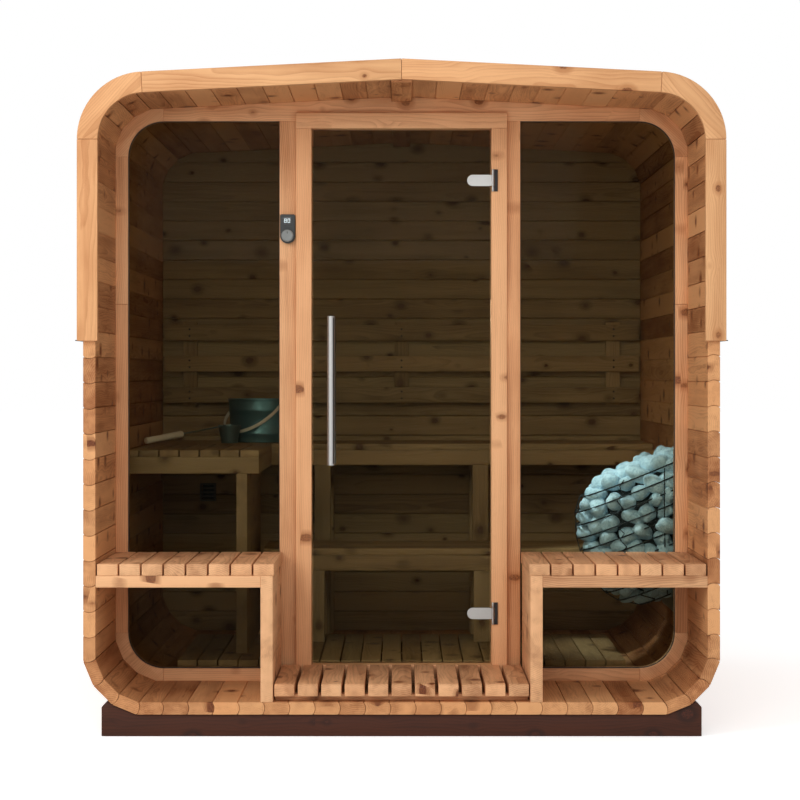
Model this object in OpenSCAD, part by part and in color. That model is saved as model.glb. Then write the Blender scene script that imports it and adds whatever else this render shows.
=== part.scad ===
// Outdoor sauna: a rounded timber shell on cradle beams, with an open porch, a glazed
// front wall with a glass door, benches, a wall heater and a shingled upper half.
// Millimetres, +Z up, front towards -Y, origin at the middle of the ground footprint.
// Depths are counted from the front end of the shell staves towards the back.

/* [Shell] */
// Outside width of the shell, wall to wall
shell_w = 2166; // [1900:2:2700]
// Length of the staves, front to back
shell_l = 2070; // [1800:5:2800]
// Height of the ridge above the ground, on the outside of the staves
ridge_h = 2286; // [2284:2:2800]
// Thickness of the staves
stave_t = 42; // [28:1:60]
// Fall of the roof from the ridge, in degrees
roof_fall = 2.87; // [1:0.01:6]
// Outside radius of the two lower corners
lower_r = 226; // [180:2:300]
// Outside radius of the two upper corners
upper_r = 212; // [180:2:300]
// Flat staves in each corner
corner_flats = 3; // [2:1:5]
// Width of the stave that closes the ridge
ridge_stave_w = 72; // [50:2:100]
// How far the ridge stave hangs below its neighbours
ridge_stave_drop = 18; // [6:1:30]
// Recess of the back wall from the shell's back end
back_recess = 58; // [10:1:150]

/* [Cradle] */
// Height of the shell's underside above the ground
ground_gap = 76; // [50:1:140]
// Height of a cradle beam at its ends
cradle_h = 115; // [90:1:150]
// How far inside the shell's sides the cradle beams end
cradle_end_in = 60.5; // [0:0.5:150]
// Thickness of a cradle beam, front to back
cradle_t = 90; // [60:5:140]
// Slope cut on the beam's upper corners
cradle_chamfer = 15; // [5:1:25]
// Distance of the outer beams from the shell's ends
cradle_inset = 12; // [0:1:100]

/* [Roof] */
// Thickness of the roof covering
cover_t = 18; // [8:1:30]
// Height at which the covering and the edge boards end on the sides
cover_low = 1350; // [1100:10:1700]
// Face width of the edge boards
edge_w = 70; // [50:1:100]
// Thickness of the edge boards
edge_t = 25; // [16:1:40]
// How far the drip edge stands out from the covering
drip_out = 9; // [3:1:15]
// Height of the drip edge
drip_h = 24; // [12:1:50]
// Open joint between two edge boards
edge_joint = 1; // [0.5:0.1:3]

/* [Front wall] */
// Depth of the open porch
porch_d = 490; // [350:5:700]
// Width of the frame band that follows the shell
band_w = 45; // [35:1:70]
// Depth of the front wall's frame pieces
frame_d = 60; // [45:1:90]
// Width of the mullion between the door and the left window
mullion_left_w = 60; // [56:1:120]
// Width of the mullion between the door and the right window
mullion_right_w = 49; // [40:1:120]
// Radius of the windows' outer corners
window_r = 130; // [90:2:160]
// Thickness of the window glass
window_t = 8; // [5:1:24]
// How far the window glass sits behind the frame's face
window_setback = 16; // [4:1:30]

/* [Door] */
// Width of the glass door
door_w = 640; // [560:5:800]
// Height of the glass door
door_h = 1933; // [1800:1:1935]
// Thickness of the door glass
door_t = 8; // [6:1:12]
// Gap between the glass and the frame on the handle side and over it
door_gap = 7; // [5:0.5:12]
// Gap between the glass and the frame on the hinge side
hinge_gap = 6; // [5.5:0.5:9]
// Gap under the glass, above the sill
sill_gap = 6; // [5:0.5:12]
// Width of the door frame's members
door_frame_w = 57; // [45:1:80]
// How far the door frame stands proud of the front wall
door_frame_proud = 18; // [10:1:30]

/* [Hinges and handle] */
// Height of a hinge barrel
barrel_h = 80; // [60:1:120]
// Outside radius of a hinge barrel
barrel_r = 4.5; // [4:0.1:5]
// Radius of the hinge pin
pin_r = 2.5; // [1.5:0.1:3]
// Radial clearance around a pin
pin_clear = 0.05; // [0.02:0.01:0.1]
// Length of the hinge plate on the glass
leaf_l = 82; // [60:1:120]
// Height of the hinge plate
leaf_h = 41; // [30:1:56]
// Thickness of the hinge plate
leaf_t = 3; // [2:0.5:4]
// Height of the lower hinge above the foot of the glass
hinge_low = 180; // [120:5:400]
// Distance of the upper hinge below the top of the glass
hinge_high = 182; // [120:5:400]
// Length of the door handle
handle_l = 537; // [300:1:900]
// Height of the handle's foot above the foot of the glass
handle_low = 720; // [500:5:900]
// Radius of the handle tube
handle_r = 14; // [10:0.5:20]
// Clear space between handle and glass
handle_gap = 48; // [35:1:70]
// Distance of the handle's axis from the free edge of the glass
handle_inset = 66; // [40:1:120]

/* [Control panel] */
// Width of the control panel
panel_w = 54; // [40:1:56]
// Height of the control panel
panel_h = 105; // [80:1:160]
// Thickness of the control panel
panel_t = 22; // [12:1:30]
// Height of the panel's foot above the ground
panel_z = 1709; // [1200:1:1800]
// Diameter of the control knob
knob_d = 45; // [30:1:48]
// Length of the control knob
knob_l = 15; // [10:1:25]

/* [Slats] */
// Width of a bench slat
slat_w = 70; // [50:1:95]
// Gap between bench slats
slat_gap = 6; // [4:1:12]
// Thickness of the slats indoors
slat_t = 26; // [18:1:40]

/* [Porch] */
// Height of the porch seats above the ground
porch_seat_z = 588; // [480:1:650]
// Thickness of the porch seat slats
porch_slat_t = 40; // [28:1:50]
// Height of the rails under the porch seats
porch_rail_h = 40; // [30:1:90]
// Thickness of the porch bench rails and side panels
porch_panel_t = 42; // [28:1:60]
// Walkway left clear beside each side of the door frame
walkway_side = 54; // [30:1:150]
// Width of a step slat
step_slat_w = 68; // [50:1:95]
// Least gap between the slats of the step
step_slat_gap = 10; // [5:1:16]
// Thickness of a step slat
step_slat_t = 42; // [28:1:48]
// Height of the bearers under the step slats
bearer_h = 20; // [15:1:60]
// Width of the bearers under step and duckboard
bearer_w = 45; // [30:1:70]
// Radius of the rounded front end of a step slat
nose_r = 12; // [4:1:13]

/* [Benches] */
// Height of the upper and side benches above the ground
upper_z = 948; // [850:1:1100]
// Height of the lower bench above the ground
lower_z = 552; // [450:1:600]
// Depth of the upper bench, from its front edge to the back wall
upper_d = 486; // [456:1:560]
// Distance from the upper bench's front edge to the lower one's
lower_d = 420; // [400:1:480]
// Length of the side bench, in front of the upper bench
side_l = 742; // [500:1:800]
// Width of the side bench, from the wall
side_w = 505; // [400:1:560]
// Height of the boards under the bench slats
apron_h = 62; // [45:1:90]
// Width of a bench post
post_w = 66; // [45:1:90]
// Distance of the bench posts from the middle
post_x = 325; // [250:5:450]
// Thickness of the side bench's support panel
side_panel_t = 41; // [26:1:60]

/* [Backrest and floor] */
// Height of each backrest board
backrest_board_h = 67; // [50:1:90]
// Pitch of the backrest boards
backrest_pitch = 135; // [100:1:160]
// Height of the backrest's foot above the upper bench
backrest_up = 163; // [120:1:260]
// Width of the backrest battens
batten_w = 60; // [40:1:80]
// How far the duckboard runs under the lower bench
duckboard_under = 252; // [120:2:360]
// Most that the duckboard reaches to each side of the middle
duckboard_reach = 840; // [500:10:900]
// Gap between duckboard slats
duckboard_gap = 5; // [4:1:12]
// Height of the duckboard's top above the ground
duckboard_z = 185; // [170:1:190]

/* [Heater] */
// How far the stones stand out from the heater's back plate
heater_out = 347; // [250:1:400]
// Half of the heater's width, along the wall
heater_half = 205; // [150:1:240]
// Distance of the heater's middle behind the front wall
heater_back = 290; // [280:1:330]
// Distance of the heater's back plate from the wall
heater_off_wall = 31; // [20:1:60]
// Rise of the rods towards the wall, in degrees
rod_rise = 23; // [10:1:30]
// Radius of the cage rods
rod_r = 3; // [2:0.5:5]
// Pitch of the cage rods up the wall
rod_pitch = 50; // [35:1:80]

/* [Pail and ladle] */
// Outside radius of the pail at the rim
pail_r = 137; // [100:1:160]
// Height of the pail
pail_h = 183; // [140:1:260]
// Thickness of the pail's wall
pail_t = 4; // [2:0.5:8]
// Length of the pail's bail, from the pivots to its middle
bail_l = 192; // [185:1:240]
// Outside radius of the ladle's bowl
ladle_r = 48; // [35:1:60]
// Height of the ladle's bowl
ladle_h = 75; // [50:1:90]
// Thickness of the ladle's bowl
ladle_t = 2.5; // [1.5:0.5:5]
// Radius of the ladle's wooden grip
grip_r = 13; // [9:0.5:18]

/* [Vent] */
// Width of the air vent in the back wall
vent_w = 70; // [50:1:120]
// Height of the air vent in the back wall
vent_h = 78; // [50:1:120]

/* [Hidden] */

$fn = 64;
slop = 1;                                   // cutters run this far past a face
big = 4000;                                 // longer than the object

// Shell lines
half_out = shell_w / 2;
half_in = half_out - stave_t;
floor_in = ground_gap + stave_t;
cradle_half = half_out - cradle_end_in;
drip_t = 3;                                 // thickness of the drip edge under the covering
drip_upstand = 2;                           // thickness of its upright leg
fall_angle = 90 - roof_fall;
upper_cx = half_out - upper_r;
upper_cz = ridge_h - upper_cx * tan(roof_fall) - upper_r / cos(roof_fall);
lower_cx = half_out - lower_r;
lower_cz = ground_gap + lower_r;
upper_step = fall_angle / (2 * (corner_flats + 1));
lower_step = 90 / (2 * (corner_flats + 1));
ridge_stave_top = ridge_h - ridge_stave_drop;
ceiling_low = roof_z(upper_cx, stave_t);    // ceiling height where the corners begin

// Front wall lines
wall_y = porch_d;
frame_back = wall_y + frame_d;
window_out = half_in - band_w;
window_low = floor_in + band_w;
window_top = ceiling_low - band_w;
window_y = wall_y + window_setback;
corner_x = window_out - window_r;
corner_low = window_low + window_r;
corner_top = window_top - window_r;
door_face = wall_y - door_frame_proud;
door_left = -door_w / 2;
door_right = door_w / 2;
frame_left_in = door_left - door_gap;
frame_right_in = door_right + hinge_gap;
frame_left_out = frame_left_in - door_frame_w;
frame_right_out = frame_right_in + door_frame_w;
step_top = floor_in + bearer_h + step_slat_t;
door_foot = step_top + sill_gap;
door_top = door_foot + door_h;
head_low = door_top + door_gap;
head_top = head_low + door_frame_w;
mullion_left_out = frame_left_out - mullion_left_w;
mullion_right_out = frame_right_out + mullion_right_w;

// Hinges: the axis stands just in front of the frame's face
hinge_out = 5;                              // axis past the door frame's inner edge
hinge_x = door_right + hinge_gap + hinge_out;
hinge_y = door_face - barrel_r - 1;
hinge_zs = [door_foot + hinge_low, door_top - hinge_high];
knuckle_h = barrel_h / 2;
knuckle_gap = 0.5;
leaf_web = 2.5;                             // half thickness of the web beside the barrel
base_w = 12;
base_t = 4;
base_x = hinge_x + barrel_r + 1.5;
bolt_r = 5;
bolt_clear = 1;
bolt_near = 20;                             // from the door's edge to the first bolt
bolt_far = 30;                              // from the leaf's free end to the second bolt
handle_x = door_left + handle_inset;
handle_z = door_foot + handle_low;
standoff_r = 7;
standoff_in = 90;                           // from the tube's ends
tube_t = 2;

// Control panel
panel_x = (frame_left_out + mullion_left_out) / 2;
panel_corner_r = 6;
knob_pin_r = 3;
knob_gap = 1;
knob_z = panel_z + panel_w / 2;
knob_pin_l = 10;

// Porch
porch_back = wall_y - 2;
porch_x = -frame_left_out + walkway_side;
porch_slat_over = 4;                        // inner slats pass their panels by this
step_side_gap = 5;
bearer_in = 50;                             // from the ends of the step's slats
seat_pitch = slat_w + slat_gap;
porch_slats_n = floor((half_in - porch_x + slat_gap) / seat_pitch);
porch_rail_top = porch_seat_z - porch_slat_t;
step_half = porch_x - step_side_gap;
step_slats_n = floor((2 * step_half + step_slat_gap) / (step_slat_w + step_slat_gap));
step_pitch = (2 * step_half - step_slat_w) / (step_slats_n - 1);
step_back = door_face - 2;

// Benches
back_y = shell_l - back_recess - stave_t;   // inner face of the back wall
upper_y = back_y - upper_d;
lower_y = upper_y - lower_d;
side_y = upper_y - side_l;
side_x = -half_in + side_w;
wall_gap = 6;                               // from the walls to the ends of the slats
bench_end = half_in - wall_gap;
rail_t = 26;
batten_t = 30;                              // between the back wall and the backrest
board_gap = 1;                              // open joint between boards that meet
lower_over = 7;                             // lower slats run this far under the side bench
lower_left = side_x - lower_over;
apron_in = 6;                               // aprons and posts behind the slats' edges
side_apron_in = 2;
upper_under = upper_z - slat_t;
lower_under = lower_z - slat_t;
post_t = 42;
lower_post_shift = 10;                      // lower posts stand left of the upper ones by this
upper_slats_n = floor((upper_d - batten_t + slat_gap) / seat_pitch);
lower_slats_n = floor((lower_d + slat_gap) / seat_pitch);
upper_back = upper_y + upper_slats_n * seat_pitch - slat_gap;
lower_back = lower_y + lower_slats_n * seat_pitch - slat_gap;
side_panel_in = 45;
side_panel_x = side_x - side_panel_in;
bench_batten_t = 30;
side_slats_n = ceil((side_w - slat_gap) / seat_pitch);

// Backrest and floor
backrest_foot = upper_z + backrest_up;
backrest_end_gap = 14;
backrest_boards_n = 3;
backrest_half = half_in - backrest_end_gap;
batten_from_wall = 123;                     // to the middle of the outer battens
batten_x = half_in - batten_from_wall;
batten_over = 12;
duckboard_y = frame_back + wall_gap;
duckboard_l = lower_y + duckboard_under - duckboard_y;
duckboard_pitch = slat_w + duckboard_gap;
duckboard_half_n = floor(duckboard_reach / duckboard_pitch);
duckboard_half = duckboard_half_n * duckboard_pitch;

// Heater: each row is the rod's height at the wall and its reach out of the wall, 0 to 1
heater_x = half_in - heater_off_wall;
heater_y = wall_y + heater_back;
heater_rows = [
    [392, 0.20], [450, 0.50], [530, 0.72], [640, 0.89], [760, 0.98],
    [860, 1.00], [920, 0.94], [958, 0.80]
];
heater_arc = 18;                            // points along a half ring
rod_off = rod_r + 2;
rod_sides = 6;
plate_t = 4;
plate_low = 350;
plate_top = 950;
plate_x = heater_x + rod_r * sin(rod_rise);
plate_side = 7;                             // plate past the rods
plate_half = heater_half + rod_off + plate_side;
bracket_h = 40;
bracket_in = 60;                            // from the plate's ends
first_rod_up = 20;                          // above the pile's foot
last_rod_down = 10;                         // below the pile's top

// Pail and ladle
pail_from_wall = 443;
pail_x = -half_in + pail_from_wall;
pail_y = upper_y + 246;
pail_foot_r = 0.9 * pail_r;
ear_r = 6;
ear_drop = 16;                              // ears below the rim
ear_z = upper_z + pail_h - ear_drop;
bail_turn = -45;                            // direction of the pivot line, seen from above
bail_drop = 40;                             // fall of the bail below level, in degrees
bail_w = 14;
bail_t = 3;
bail_half = pail_r + 7;
ladle_from_wall = 325;
ladle_x = -half_in + ladle_from_wall;
ladle_y = upper_y + 84;
ladle_turn = 226.7;                         // direction of the handle, seen from above
neck_r = 3;
neck_l = 215;
grip_l = 192;
neck_fall = 7.2;
neck_drop = 2;                              // neck below the bowl's rim
ladle_foot_r = 0.7 * ladle_r;

// Vent
vent_from_wall = 198;
vent_x = -half_in + vent_from_wall;
vent_z = 721;
vent_t = 6;
vent_slots = 4;
vent_rim = 8;

pine = [0.80, 0.60, 0.44];
pale_pine = [0.89, 0.71, 0.54];
indoor_pine = [0.72, 0.53, 0.37];
stain = [0.28, 0.15, 0.10];
satin = [0.72, 0.73, 0.74];
tint = [0.24, 0.18, 0.13, 0.6];

// ---- Lines of the shell ----

// Height of the roof line at x, d below the staves' outside
function roof_z(x, d) = ridge_h - d / cos(roof_fall) - abs(x) * tan(roof_fall);

// Corner points of the flats that follow an arc, from angle a0 in steps of two half flats
function flats(cx, cz, r, a0, step) = [
    for (i = [0 : corner_flats])
        let (a = a0 + (2 * i + 1) * step)
            [cx + r / cos(step) * cos(a), cz + r / cos(step) * sin(a)]
];

// Upper and lower corner of the right side, d inside the staves' outside, bottom to top
function upper_flats(d) = flats(upper_cx, upper_cz, upper_r - d, 0, upper_step);
function lower_flats(d) = flats(lower_cx, lower_cz, lower_r - d, -90, lower_step);

function reversed(list) = [for (i = [len(list) - 1 : -1 : 0]) list[i]];
function mirrored(list) = [for (p = reversed(list)) [-p[0], p[1]]];

// Where a slope meets the ridge stave, d inside the staves' outside
function slope_end(d) = [ridge_stave_w / 2, roof_z(ridge_stave_w / 2, d)];

// Whole outline of the shell, d inside its outside
function shell_outline(d) =
    let (right = concat(lower_flats(d), upper_flats(d), [slope_end(d)]))
        concat(right, [[0, roof_z(0, d)]], mirrored(right));

// ---- Helpers ----

// Depth is counted from the shell's front end; the origin is its middle
module placed() {
    translate([0, -shell_l / 2, 0]) children();
}

// A cross-section seen from the front, from depth y0 to depth y1
module section(y0, y1) {
    translate([0, y1, 0]) rotate([90, 0, 0]) linear_extrude(y1 - y0) children();
}

module board(x, y, z) {
    translate([x[0], y[0], z[0]]) cube([x[1] - x[0], y[1] - y[0], z[1] - z[0]]);
}

module both_sides() {
    children();
    mirror([1, 0, 0]) children();
}

module rect(x, z) {
    translate([x[0], z[0]]) square([x[1] - x[0], z[1] - z[0]]);
}

module front_rod(x, z, y, r) {
    translate([x, y[1], z]) rotate([90, 0, 0]) cylinder(r = r, h = y[1] - y[0]);
}

// ---- Cradle and shell ----

module cradle_beam(y) {
    difference() {
        section(y, y + cradle_t) polygon([
            [-cradle_half, 0], [cradle_half, 0],
            [cradle_half, cradle_h - cradle_chamfer],
            [cradle_half - cradle_chamfer, cradle_h],
            [-cradle_half + cradle_chamfer, cradle_h],
            [-cradle_half, cradle_h - cradle_chamfer]
        ]);
        section(y - slop, y + cradle_t + slop) polygon(shell_outline(0));
    }
}

module cradle_beams() {
    color(stain) placed()
        for (y = [cradle_inset, (shell_l - cradle_t) / 2, shell_l - cradle_t - cradle_inset])
            cradle_beam(y);
}

module floor_staves() {
    out = lower_flats(0)[0];
    in = lower_flats(stave_t)[0];
    color(pine) placed() section(0, shell_l)
        polygon([[-out[0], out[1]], out, in, [-in[0], in[1]]]);
}

module wall_staves() {
    color(pine) placed() section(0, shell_l) polygon([
        lower_flats(0)[corner_flats], upper_flats(0)[0],
        upper_flats(stave_t)[0], lower_flats(stave_t)[corner_flats]
    ]);
}

module wall_staves_left() {
    mirror([1, 0, 0]) wall_staves();
}

module wall_staves_right() {
    wall_staves();
}

module lower_corner_staves() {
    color(pine) placed() both_sides() section(0, shell_l)
        polygon(concat(lower_flats(0), reversed(lower_flats(stave_t))));
}

module upper_corner_staves() {
    color(pine) placed() both_sides() section(0, shell_l)
        polygon(concat(upper_flats(0), reversed(upper_flats(stave_t))));
}

module ceiling_staves() {
    color(pine) placed() both_sides() section(0, shell_l) polygon([
        upper_flats(0)[corner_flats], slope_end(0), slope_end(stave_t),
        upper_flats(stave_t)[corner_flats]
    ]);
}

module ridge_stave_shape() {
    rect([-ridge_stave_w / 2, ridge_stave_w / 2], [ridge_stave_top - stave_t, ridge_stave_top]);
}

module ridge_stave() {
    color(pine) placed() section(0, shell_l) ridge_stave_shape();
}

// ---- Roof ----

// Outside of the covering: straight sides and slopes with a smooth bend between them
module roof_outline() {
    r = upper_r + cover_t;
    bend_x = upper_cx + r * sin(roof_fall);
    bend_z = upper_cz + r * cos(roof_fall);
    rect([-half_out - cover_t, half_out + cover_t], [cover_low, upper_cz]);
    for (side = [-1, 1]) translate([side * upper_cx, upper_cz]) circle(r = r, $fn = 128);
    polygon([
        [-bend_x, bend_z], [-bend_x, upper_cz], [bend_x, upper_cz], [bend_x, bend_z],
        [0, roof_z(0, -cover_t)]
    ]);
}

module roof_covering() {
    color([0.16, 0.16, 0.17]) placed() section(0, shell_l) difference() {
        roof_outline();
        polygon(shell_outline(0));
    }
}

module drip_edges() {
    color([0.12, 0.12, 0.13]) placed() both_sides() section(0, shell_l) polygon([
        [half_out, cover_low - drip_t], [half_out + cover_t + drip_out, cover_low - drip_t],
        [half_out + cover_t + drip_out, cover_low],
        [half_out + cover_t + drip_upstand, cover_low],
        [half_out + cover_t + drip_upstand, cover_low + drip_h],
        [half_out + cover_t, cover_low + drip_h],
        [half_out + cover_t, cover_low], [half_out, cover_low]
    ]);
}

// Arc of an edge board around an upper corner
module edge_arc() {
    reach = 2 * upper_r;
    turn = edge_joint / upper_r * 180 / PI;
    intersection() {
        translate([upper_cx, upper_cz]) difference() {
            circle(r = upper_r + cover_t, $fn = 128);
            circle(r = upper_r + cover_t - edge_w, $fn = 128);
        }
        translate([upper_cx, upper_cz]) polygon([
            [0, 0], reach * [cos(turn), sin(turn)], reach * [1, 1],
            reach * [cos(fall_angle - turn), sin(fall_angle - turn)]
        ]);
    }
}

module edge_boards(y) {
    inside = edge_w - cover_t;
    color(pale_pine) placed() both_sides() section(y, y + edge_t) {
        rect([half_out - inside, half_out + cover_t], [cover_low - drip_t, upper_cz]);
        edge_arc();
        polygon([
            [edge_joint / 2, roof_z(edge_joint / 2, -cover_t)],
            [upper_cx + (upper_r + cover_t) * sin(roof_fall),
                upper_cz + (upper_r + cover_t) * cos(roof_fall)],
            [upper_cx + (upper_r - inside) * sin(roof_fall),
                upper_cz + (upper_r - inside) * cos(roof_fall)],
            [edge_joint / 2, roof_z(edge_joint / 2, inside)]
        ]);
    }
}

module front_edge_boards() {
    edge_boards(-edge_t);
}

module back_edge_boards() {
    edge_boards(shell_l);
}

// ---- Back wall ----

module back_wall() {
    color(indoor_pine) placed() difference() {
        section(back_y, back_y + stave_t) polygon(shell_outline(stave_t));
        section(back_y - slop, back_y + stave_t + slop) ridge_stave_shape();
        board([vent_x - vent_w / 2 + vent_rim, vent_x + vent_w / 2 - vent_rim],
            [back_y - slop, back_y + stave_t + slop],
            [vent_z - vent_h / 2 + vent_rim, vent_z + vent_h / 2 - vent_rim]);
    }
}

module air_vent() {
    slot = (vent_h - 2 * vent_rim) / (2 * vent_slots - 1);
    color([0.35, 0.33, 0.30]) placed() difference() {
        board([vent_x - vent_w / 2, vent_x + vent_w / 2], [back_y - vent_t, back_y],
            [vent_z - vent_h / 2, vent_z + vent_h / 2]);
        for (i = [0 : vent_slots - 1])
            board([vent_x - vent_w / 2 + vent_rim, vent_x + vent_w / 2 - vent_rim],
                [back_y - vent_t - slop, back_y + slop],
                [vent_z - vent_h / 2 + vent_rim + 2 * i * slot,
                    vent_z - vent_h / 2 + vent_rim + (2 * i + 1) * slot]);
    }
}

// ---- Front wall ----

// The glazed field: both windows as one opening with four round corners
module glazed_field() {
    difference() {
        rect([-window_out, window_out], [window_low, window_top]);
        for (side = [-1, 1], up = [0, 1]) {
            cz = up == 1 ? corner_top : corner_low;
            difference() {
                translate([side * (corner_x + window_r / 2 + slop), cz + (2 * up - 1) * (window_r / 2 + slop)])
                    square(window_r + 2 * slop, center = true);
                translate([side * corner_x, cz]) circle(r = window_r);
            }
        }
    }
}

module band() {
    difference() {
        polygon(shell_outline(stave_t));
        glazed_field();
    }
}

module front_header() {
    color(pine) placed() section(wall_y, frame_back) difference() {
        polygon(shell_outline(stave_t));
        rect([-big, frame_left_out], [-big, window_top]);
        rect([frame_right_out, big], [-big, window_top]);
        rect([frame_left_out, frame_right_out], [-big, head_top]);
        for (side = [-1, 1])
            translate([side * (big / 2 + corner_x), 0]) square([big, 2 * big], center = true);
        ridge_stave_shape();
    }
}

module front_bottom_rails() {
    color(pine) placed() section(wall_y, frame_back) {
        rect([-corner_x, frame_left_out], [floor_in, window_low]);
        rect([frame_right_out, corner_x], [floor_in, window_low]);
    }
}

module front_side_rails() {
    color(pine) placed() both_sides() section(wall_y, frame_back)
        rect([window_out, half_in], [corner_low, corner_top]);
}

module front_corners() {
    color(pine) placed() both_sides() section(wall_y, frame_back)
        for (z = [[-big, corner_low], [corner_top, big]])
            intersection() {
                band();
                rect([corner_x, big], z);
            }
}

module mullion_left() {
    color(pine) placed() board([mullion_left_out, frame_left_out], [wall_y, frame_back],
        [window_low, window_top]);
}

module mullion_right() {
    color(pine) placed() board([frame_right_out, mullion_right_out], [wall_y, frame_back],
        [window_low, window_top]);
}

module window_pane(x) {
    color(tint) placed() section(window_y, window_y + window_t) intersection() {
        glazed_field();
        rect(x, [-big, big]);
    }
}

module window_left() {
    window_pane([-big, mullion_left_out]);
}

module window_right() {
    window_pane([mullion_right_out, big]);
}

module door_frame_left() {
    color(pale_pine) placed() board([frame_left_out, frame_left_in], [door_face, frame_back],
        [floor_in, head_low]);
}

module door_frame_right() {
    color(pale_pine) placed() board([frame_right_in, frame_right_out], [door_face, frame_back],
        [floor_in, head_low]);
}

module door_frame_head() {
    color(pale_pine) placed() board([frame_left_out, frame_right_out], [door_face, frame_back],
        [head_low, head_top]);
}

module door_sill() {
    color(pine) placed() board([frame_left_in, frame_right_in], [door_face, frame_back],
        [floor_in, step_top - 1]);
}

// ---- Door ----

module leaf_bolts(r, y0, y1) {
    for (z = hinge_zs, x = [bolt_near, leaf_l - bolt_far])
        front_rod(door_right - x, z, [y0, y1], r);
}

module handle_bolts(r, y0, y1) {
    for (z = [handle_z + standoff_in, handle_z + handle_l - standoff_in])
        front_rod(handle_x, z, [y0, y1], r);
}

module door_glass() {
    color(tint) placed() difference() {
        board([door_left, door_right], [door_face, door_face + door_t], [door_foot, door_top]);
        leaf_bolts(bolt_r + bolt_clear, door_face - slop, door_face + door_t + slop);
        handle_bolts(bolt_r + bolt_clear, door_face - slop, door_face + door_t + slop);
    }
}

// Plate with a rounded free end, on one face of the glass
module leaf_plate(y, z) {
    section(y, y + leaf_t) {
        rect([door_right - leaf_l + leaf_h / 2, door_right], [z - leaf_h / 2, z + leaf_h / 2]);
        translate([door_right - leaf_l + leaf_h / 2, z]) circle(r = leaf_h / 2);
    }
}

module hinge_leaf(z) {
    half = knuckle_h / 2 - knuckle_gap;
    difference() {
        union() {
            leaf_plate(door_face - leaf_t, z);
            leaf_plate(door_face + door_t, z);
            board([door_right - leaf_t, hinge_x], [hinge_y - leaf_web / 2, door_face - 1],
                [z - half, z + half]);
            translate([hinge_x, hinge_y, z - half]) cylinder(r = barrel_r, h = 2 * half);
        }
        translate([hinge_x, hinge_y, z - barrel_h]) cylinder(r = pin_r + pin_clear, h = 2 * barrel_h);
    }
}

module hinge_leaves() {
    color(satin) placed() {
        for (z = hinge_zs) hinge_leaf(z);
        leaf_bolts(bolt_r, door_face - slop, door_face + door_t + slop);
    }
}

module hinge_base(z) {
    for (side = [-1, 1])
        translate([0, 0, side * (knuckle_h / 2 + (barrel_h - knuckle_h) / 4)]) {
            translate([hinge_x, hinge_y, z])
                cylinder(r = barrel_r, h = (barrel_h - knuckle_h) / 2, center = true);
            board([hinge_x, base_x + 1], [door_face - base_t - 1, door_face - 1],
                [z - (barrel_h - knuckle_h) / 4, z + (barrel_h - knuckle_h) / 4]);
        }
    translate([hinge_x, hinge_y, z]) cylinder(r = pin_r, h = barrel_h, center = true);
    board([base_x, base_x + base_w], [door_face - base_t, door_face],
        [z - barrel_h / 2, z + barrel_h / 2]);
}

module hinge_bases() {
    color([0.1, 0.1, 0.1]) placed()
        for (z = hinge_zs) hinge_base(z);
}

module handle_tube(y) {
    translate([handle_x, y, handle_z]) difference() {
        cylinder(r = handle_r, h = handle_l);
        translate([0, 0, tube_t]) cylinder(r = handle_r - tube_t, h = handle_l - 2 * tube_t);
    }
}

module door_handle() {
    outer = door_face - handle_gap - handle_r;
    inner = door_face + door_t + handle_gap + handle_r;
    color(satin) placed() {
        handle_tube(outer);
        handle_tube(inner);
        handle_bolts(standoff_r, outer + handle_r - tube_t, door_face);
        handle_bolts(standoff_r, door_face + door_t, inner - handle_r + tube_t);
        handle_bolts(bolt_r, door_face - slop, door_face + door_t + slop);
    }
}

// ---- Control panel ----

module control_panel() {
    color([0.20, 0.21, 0.21]) placed() {
        section(wall_y - panel_t, wall_y) {
            translate([panel_x, knob_z]) circle(r = panel_w / 2);
            rect([panel_x - panel_w / 2, panel_x + panel_w / 2],
                [knob_z, panel_z + panel_h - panel_corner_r]);
            rect([panel_x - panel_w / 2 + panel_corner_r, panel_x + panel_w / 2 - panel_corner_r],
                [knob_z, panel_z + panel_h]);
            for (side = [-1, 1])
                translate([panel_x + side * (panel_w / 2 - panel_corner_r),
                        panel_z + panel_h - panel_corner_r])
                    circle(r = panel_corner_r);
        }
        front_rod(panel_x, knob_z, [wall_y - panel_t - knob_pin_l, wall_y - panel_t + slop],
            knob_pin_r);
    }
}

module control_knob() {
    back = wall_y - panel_t - knob_gap;
    color([0.52, 0.53, 0.53]) placed() difference() {
        front_rod(panel_x, knob_z, [back - knob_l, back], knob_d / 2);
        front_rod(panel_x, knob_z, [back - knob_pin_l, back + slop], knob_pin_r + pin_clear);
    }
}

// ---- Porch ----

module porch_seats() {
    color(pine) placed() both_sides()
        for (i = [0 : porch_slats_n - 1])
            let (x = porch_x - porch_slat_over + i * seat_pitch)
                board([x, x + slat_w], [0, porch_back], [porch_rail_top, porch_seat_z]);
}

module porch_bench_rails() {
    color(pine) placed() both_sides()
        for (y = [0, porch_back - porch_panel_t])
            board([porch_x + porch_panel_t, half_in], [y, y + porch_panel_t],
                [porch_rail_top - porch_rail_h, porch_rail_top]);
}

module porch_panel() {
    color(pine) placed() board([porch_x, porch_x + porch_panel_t], [0, porch_back],
        [floor_in, porch_rail_top]);
}

module porch_panel_left() {
    mirror([1, 0, 0]) porch_panel();
}

module porch_panel_right() {
    porch_panel();
}

// Step slat seen from the side, with a rounded upper front end
module step_slat_shape() {
    foot = floor_in + bearer_h;
    rect([0, step_back], [foot, step_top - nose_r]);
    rect([nose_r, step_back], [foot, step_top]);
    translate([nose_r, step_top - nose_r]) circle(r = nose_r);
}

module step_slats() {
    color(pine) placed()
        for (i = [0 : step_slats_n - 1])
            translate([-step_half + i * step_pitch, 0, 0])
                rotate([90, 0, 90]) linear_extrude(step_slat_w) step_slat_shape();
}

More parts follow.
